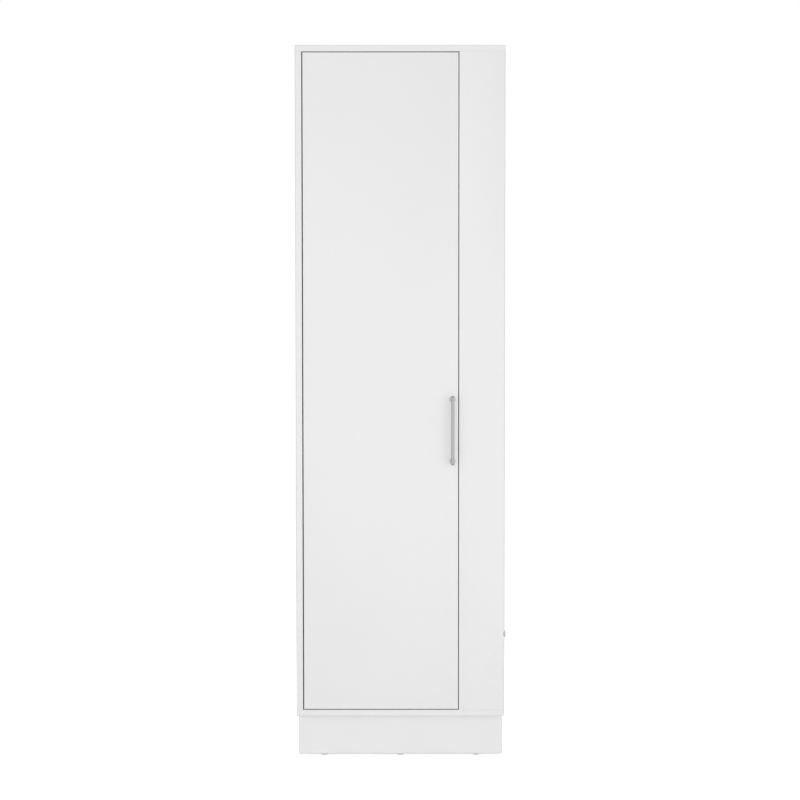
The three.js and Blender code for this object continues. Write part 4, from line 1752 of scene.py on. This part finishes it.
@dataclass
class SmallFixings:
    """The screws, cams and nails on show, and where they stand."""

    finishes: Finishes
    plate_screw: float = 7.5 * MM
    small_screw: float = 6.5 * MM
    strike_screw: float = 5 * MM
    screw_height: float = 1.4 * MM
    strike_screw_height: float = 0.98 * MM
    strike_screw_sink: float = 0.7 * MM
    strike_screw_inset: float = 4 * MM
    cup_screw_inset: float = 5 * MM
    cam_diameter: float = 15 * MM
    cam_height: float = 0.5 * MM
    cam_from_end: float = 24 * MM
    cam_from_edge: float = 50 * MM
    nail_diameter: float = 2.8 * MM
    nail_spacing: float = 110 * MM
    nail_inset: float = 5.5 * MM
    twist_seeds: Sequence[int] = (3, 5, 7, 9, 11, 13)

    def build(self) -> None:
        """Makes every set of small fixings."""
        heads, tree, door = Heads(), FixingTree(), Body.DOOR
        screw, height, low_head = heads.screw, self.screw_height, self.strike_screw_height
        sets = (
            FixingSet("hinge_plate_screws", self._plate_spots(), screw, self.plate_screw, height),
            FixingSet("hinge_cup_screws", self._cup_spots(), screw, self.small_screw, height, door),
            FixingSet("clip_screws", self._clip_spots(), screw, self.small_screw, height),
            FixingSet("strike_screws", self._strike_spots(), screw, self.strike_screw, low_head, door),
            FixingSet("board_cams", self._cam_spots(), heads.cam, self.cam_diameter, self.cam_height),
            FixingSet("back_nails", self._nail_spots(), heads.nail, self.nail_diameter, NAIL_RISE),
        )
        for fixings, seed in zip(sets, self.twist_seeds):
            tree.place(fixings, self.finishes.nickel, seed)

    def _plate_spots(self) -> list[Spot]:
        """Lists two screws on each hinge plate, above and below its arm.

        Returns:
            The places.
        """
        spots = []
        for place in HingeSet.places:
            (low, high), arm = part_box(f"hinge_plate_{place}"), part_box(f"hinge_arm_{place}")
            for z in ((low.z + arm[0].z) / 2, (high.z + arm[1].z) / 2):
                spots.append((Vector((high.x, (low.y + high.y) / 2, z)), Side.RIGHT))
        return spots

    def _cup_spots(self) -> list[Spot]:
        """Lists two screws on the wings of each hinge cup.

        Returns:
            The places.
        """
        spots = []
        for place in HingeSet.places:
            low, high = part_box(f"hinge_cup_{place}")
            for z in (low.z + self.cup_screw_inset, high.z - self.cup_screw_inset):
                spots.append((Vector(((low.x + high.x) / 2, high.y, z)), Side.REAR))
        return spots

    def _clip_spots(self) -> list[Spot]:
        """Lists the screw inside each clip.

        Returns:
            The places.
        """
        spots = []
        for number in range(1, BroomBay.clip_count + 1):
            low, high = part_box(f"broom_clip_{number}")
            centre = (low + high) / 2
            spots.append((Vector((low.x + BroomBay.base, centre.y, centre.z)), Side.RIGHT))
        return spots

    def _strike_spots(self) -> list[Spot]:
        """Lists two screws near the ends of the strike plate, sunk so that the magnet lies flat on it.

        Returns:
            The places.
        """
        low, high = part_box("catch_strike")
        y, z = high.y - self.strike_screw_sink, (low.z + high.z) / 2
        ends = (low.x + self.strike_screw_inset, high.x - self.strike_screw_inset)
        return [(Vector((x, y, z)), Side.REAR) for x in ends]

    def _cam_spots(self) -> list[Spot]:
        """Lists the cams in the undersides of the fixed shelves.

        Returns:
            The places.
        """
        spots = []
        for shelf in Shelves.fixed:
            low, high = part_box(f"shelf_{shelf}_fixed")
            for x in (low.x + self.cam_from_end, high.x - self.cam_from_end):
                for y in (low.y + self.cam_from_edge, high.y - self.cam_from_edge):
                    spots.append((Vector((x, y, low.z)), Side.UNDER))
        return spots

    def _nail_spots(self) -> list[Spot]:
        """Lists the nails round the edges of both halves of the back.

        Returns:
            The places.
        """
        spots = []
        for half in HALVES:
            low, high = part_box(f"back_panel_{half}")
            left, right = low.x + self.nail_inset, high.x - self.nail_inset
            bottom, top = low.z + self.nail_inset, high.z - self.nail_inset
            face = high.y - NAIL_RISE
            steps = round((top - bottom) / self.nail_spacing)
            for step in range(steps + 1):
                z = bottom + (top - bottom) * step / steps
                spots += [(Vector((x, face, z)), Side.REAR) for x in (left, right)]
            end = bottom if half == "lower" else top
            steps = round((right - left) / self.nail_spacing)
            for step in range(1, steps):
                spots.append((Vector((left + (right - left) * step / steps, face, end)), Side.REAR))
        return spots


@dataclass(frozen=True)
class Lamp:
    """An oblong soft lamp, aimed at the middle of the cupboard. Its power is in watts."""

    name: str
    place: Triple
    size: Point2
    power: float

    def hang(self) -> None:
        """Hangs the lamp in its place."""
        data = bpy.data.lights.new(self.name, "AREA")
        data.shape = "RECTANGLE"
        data.size, data.size_y = self.size
        data.energy = self.power
        lamp = bpy.data.objects.new(self.name, data)
        bpy.context.scene.collection.objects.link(lamp)
        lamp.location = self.place
        aim = (CAD_BOUNDS[0] + CAD_BOUNDS[1]) / 2 - Vector(self.place)
        lamp.rotation_euler = aim.to_track_quat("-Z", "Y").to_euler()
        lamp.visible_camera = False


@dataclass
class Studio:
    """The pale floor, the soft lamps and the camera."""

    camera_distance: float = 2.660
    camera_height: float = 0.9524
    camera_tilt: float = 1.621
    camera_roll: float = 0.03
    camera_offset: float = -0.65 * MM
    camera_range: float = 100.0
    focal_pixels: float = 1111.6
    sensor: float = 36.0
    floor_size: float = 60.0
    floor_grey: float = 245
    floor_lift: float = 0.7
    clear_from: float = 0.35
    clear_to: float = 1.3
    ambient: float = 0.6
    lamps: Sequence[Lamp] = (
        Lamp("key_lamp", (1.85, -4.3, 1.3), (3.6, 2.4), 37.5),
        Lamp("fill_lamp", (-1.85, -4.3, 1.3), (3.6, 2.4), 30),
        Lamp("low_lamp", (0.0, -2.3, 0.12), (2.4, 0.2), 4.8),
        Lamp("high_lamp", (0.0, -1.3, 2.3), (2.0, 0.2), 0.8),
    )

    def build(self) -> None:
        """Sets up the floor, world, lamps, camera and view."""
        self._camera()
        self._floor()
        self._world()
        for lamp in self.lamps:
            lamp.hang()
        bpy.context.scene.view_settings.view_transform = "Standard"

    def _camera(self) -> None:
        """Places the camera where the photo was taken from."""
        data = bpy.data.cameras.new("photo_camera")
        data.sensor_width = self.sensor
        data.lens = self.focal_pixels / PHOTO_PIXELS * self.sensor
        data.clip_end = self.camera_range
        camera = bpy.data.objects.new("photo_camera", data)
        bpy.context.scene.collection.objects.link(camera)
        low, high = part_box("top_panel")
        across = (low.x + high.x) / 2 + self.camera_offset
        camera.location = (across, low.y - self.camera_distance, self.camera_height)
        camera.rotation_euler = (math.radians(90 - self.camera_tilt), math.radians(self.camera_roll), 0)
        bpy.context.scene.camera = camera

    def _floor(self) -> None:
        """Lays a pale floor that keeps the shadow near the cupboard and clears to white further off.

        It can be looked through from beneath.
        """
        half = self.floor_size / 2
        mesh = mesh_from(lambda shape: bmesh.ops.create_grid(shape, x_segments=1, y_segments=1, size=half))
        floor = new_object("floor", mesh)
        made, tree = new_material("pale_floor")
        distance = tree.add("ShaderNodeVectorMath", {0: tree.object_place()}, operation="LENGTH")
        reach = {"Value": distance.outputs["Value"], "From Min": self.clear_from, "From Max": self.clear_to}
        clear = tree.add("ShaderNodeMapRange", reach, interpolation_type="SMOOTHSTEP").outputs[0]
        matt = tree.add("ShaderNodeBsdfDiffuse", {"Color": linear(self.floor_grey)}).outputs[0]
        lift, white = (tree.add("ShaderNodeEmission", {"Color": WHITE, "Strength": strength}).outputs[0]
                       for strength in (self.floor_lift, 1.0))
        lifted = tree.add("ShaderNodeAddShader", {0: matt, 1: lift}).outputs[0]
        shown = tree.mix(tree.seen(), matt, tree.mix(clear, lifted, white))
        beneath = tree.add("ShaderNodeNewGeometry").outputs["Backfacing"]
        gone = tree.add("ShaderNodeBsdfTransparent").outputs[0]
        tree.add("ShaderNodeOutputMaterial", {"Surface": tree.mix(beneath, shown, gone)})
        floor.data.materials.append(made)

    def _world(self) -> None:
        """Makes the world white where it is seen and reflected, and softer as a light."""
        world = bpy.data.worlds.new("studio")
        bpy.context.scene.world = world
        world.use_nodes = True
        tree = Tree(world.node_tree)
        light, white = (tree.add("ShaderNodeBackground", {"Color": WHITE, "Strength": strength}).outputs[0]
                        for strength in (self.ambient, 1.0))
        tree.add("ShaderNodeOutputWorld", {"Surface": tree.mix(tree.seen(), light, white)})


def main() -> None:
    """Builds the studio and every part of the cupboard in order."""
    Studio().build()
    finishes = Finishes()
    for part in (Carcass, Plinth, Shelves, Door, HingeSet, BroomBay, Catch, SmallFixings):
        part(finishes).build()


if __name__ == "__main__":
    main()
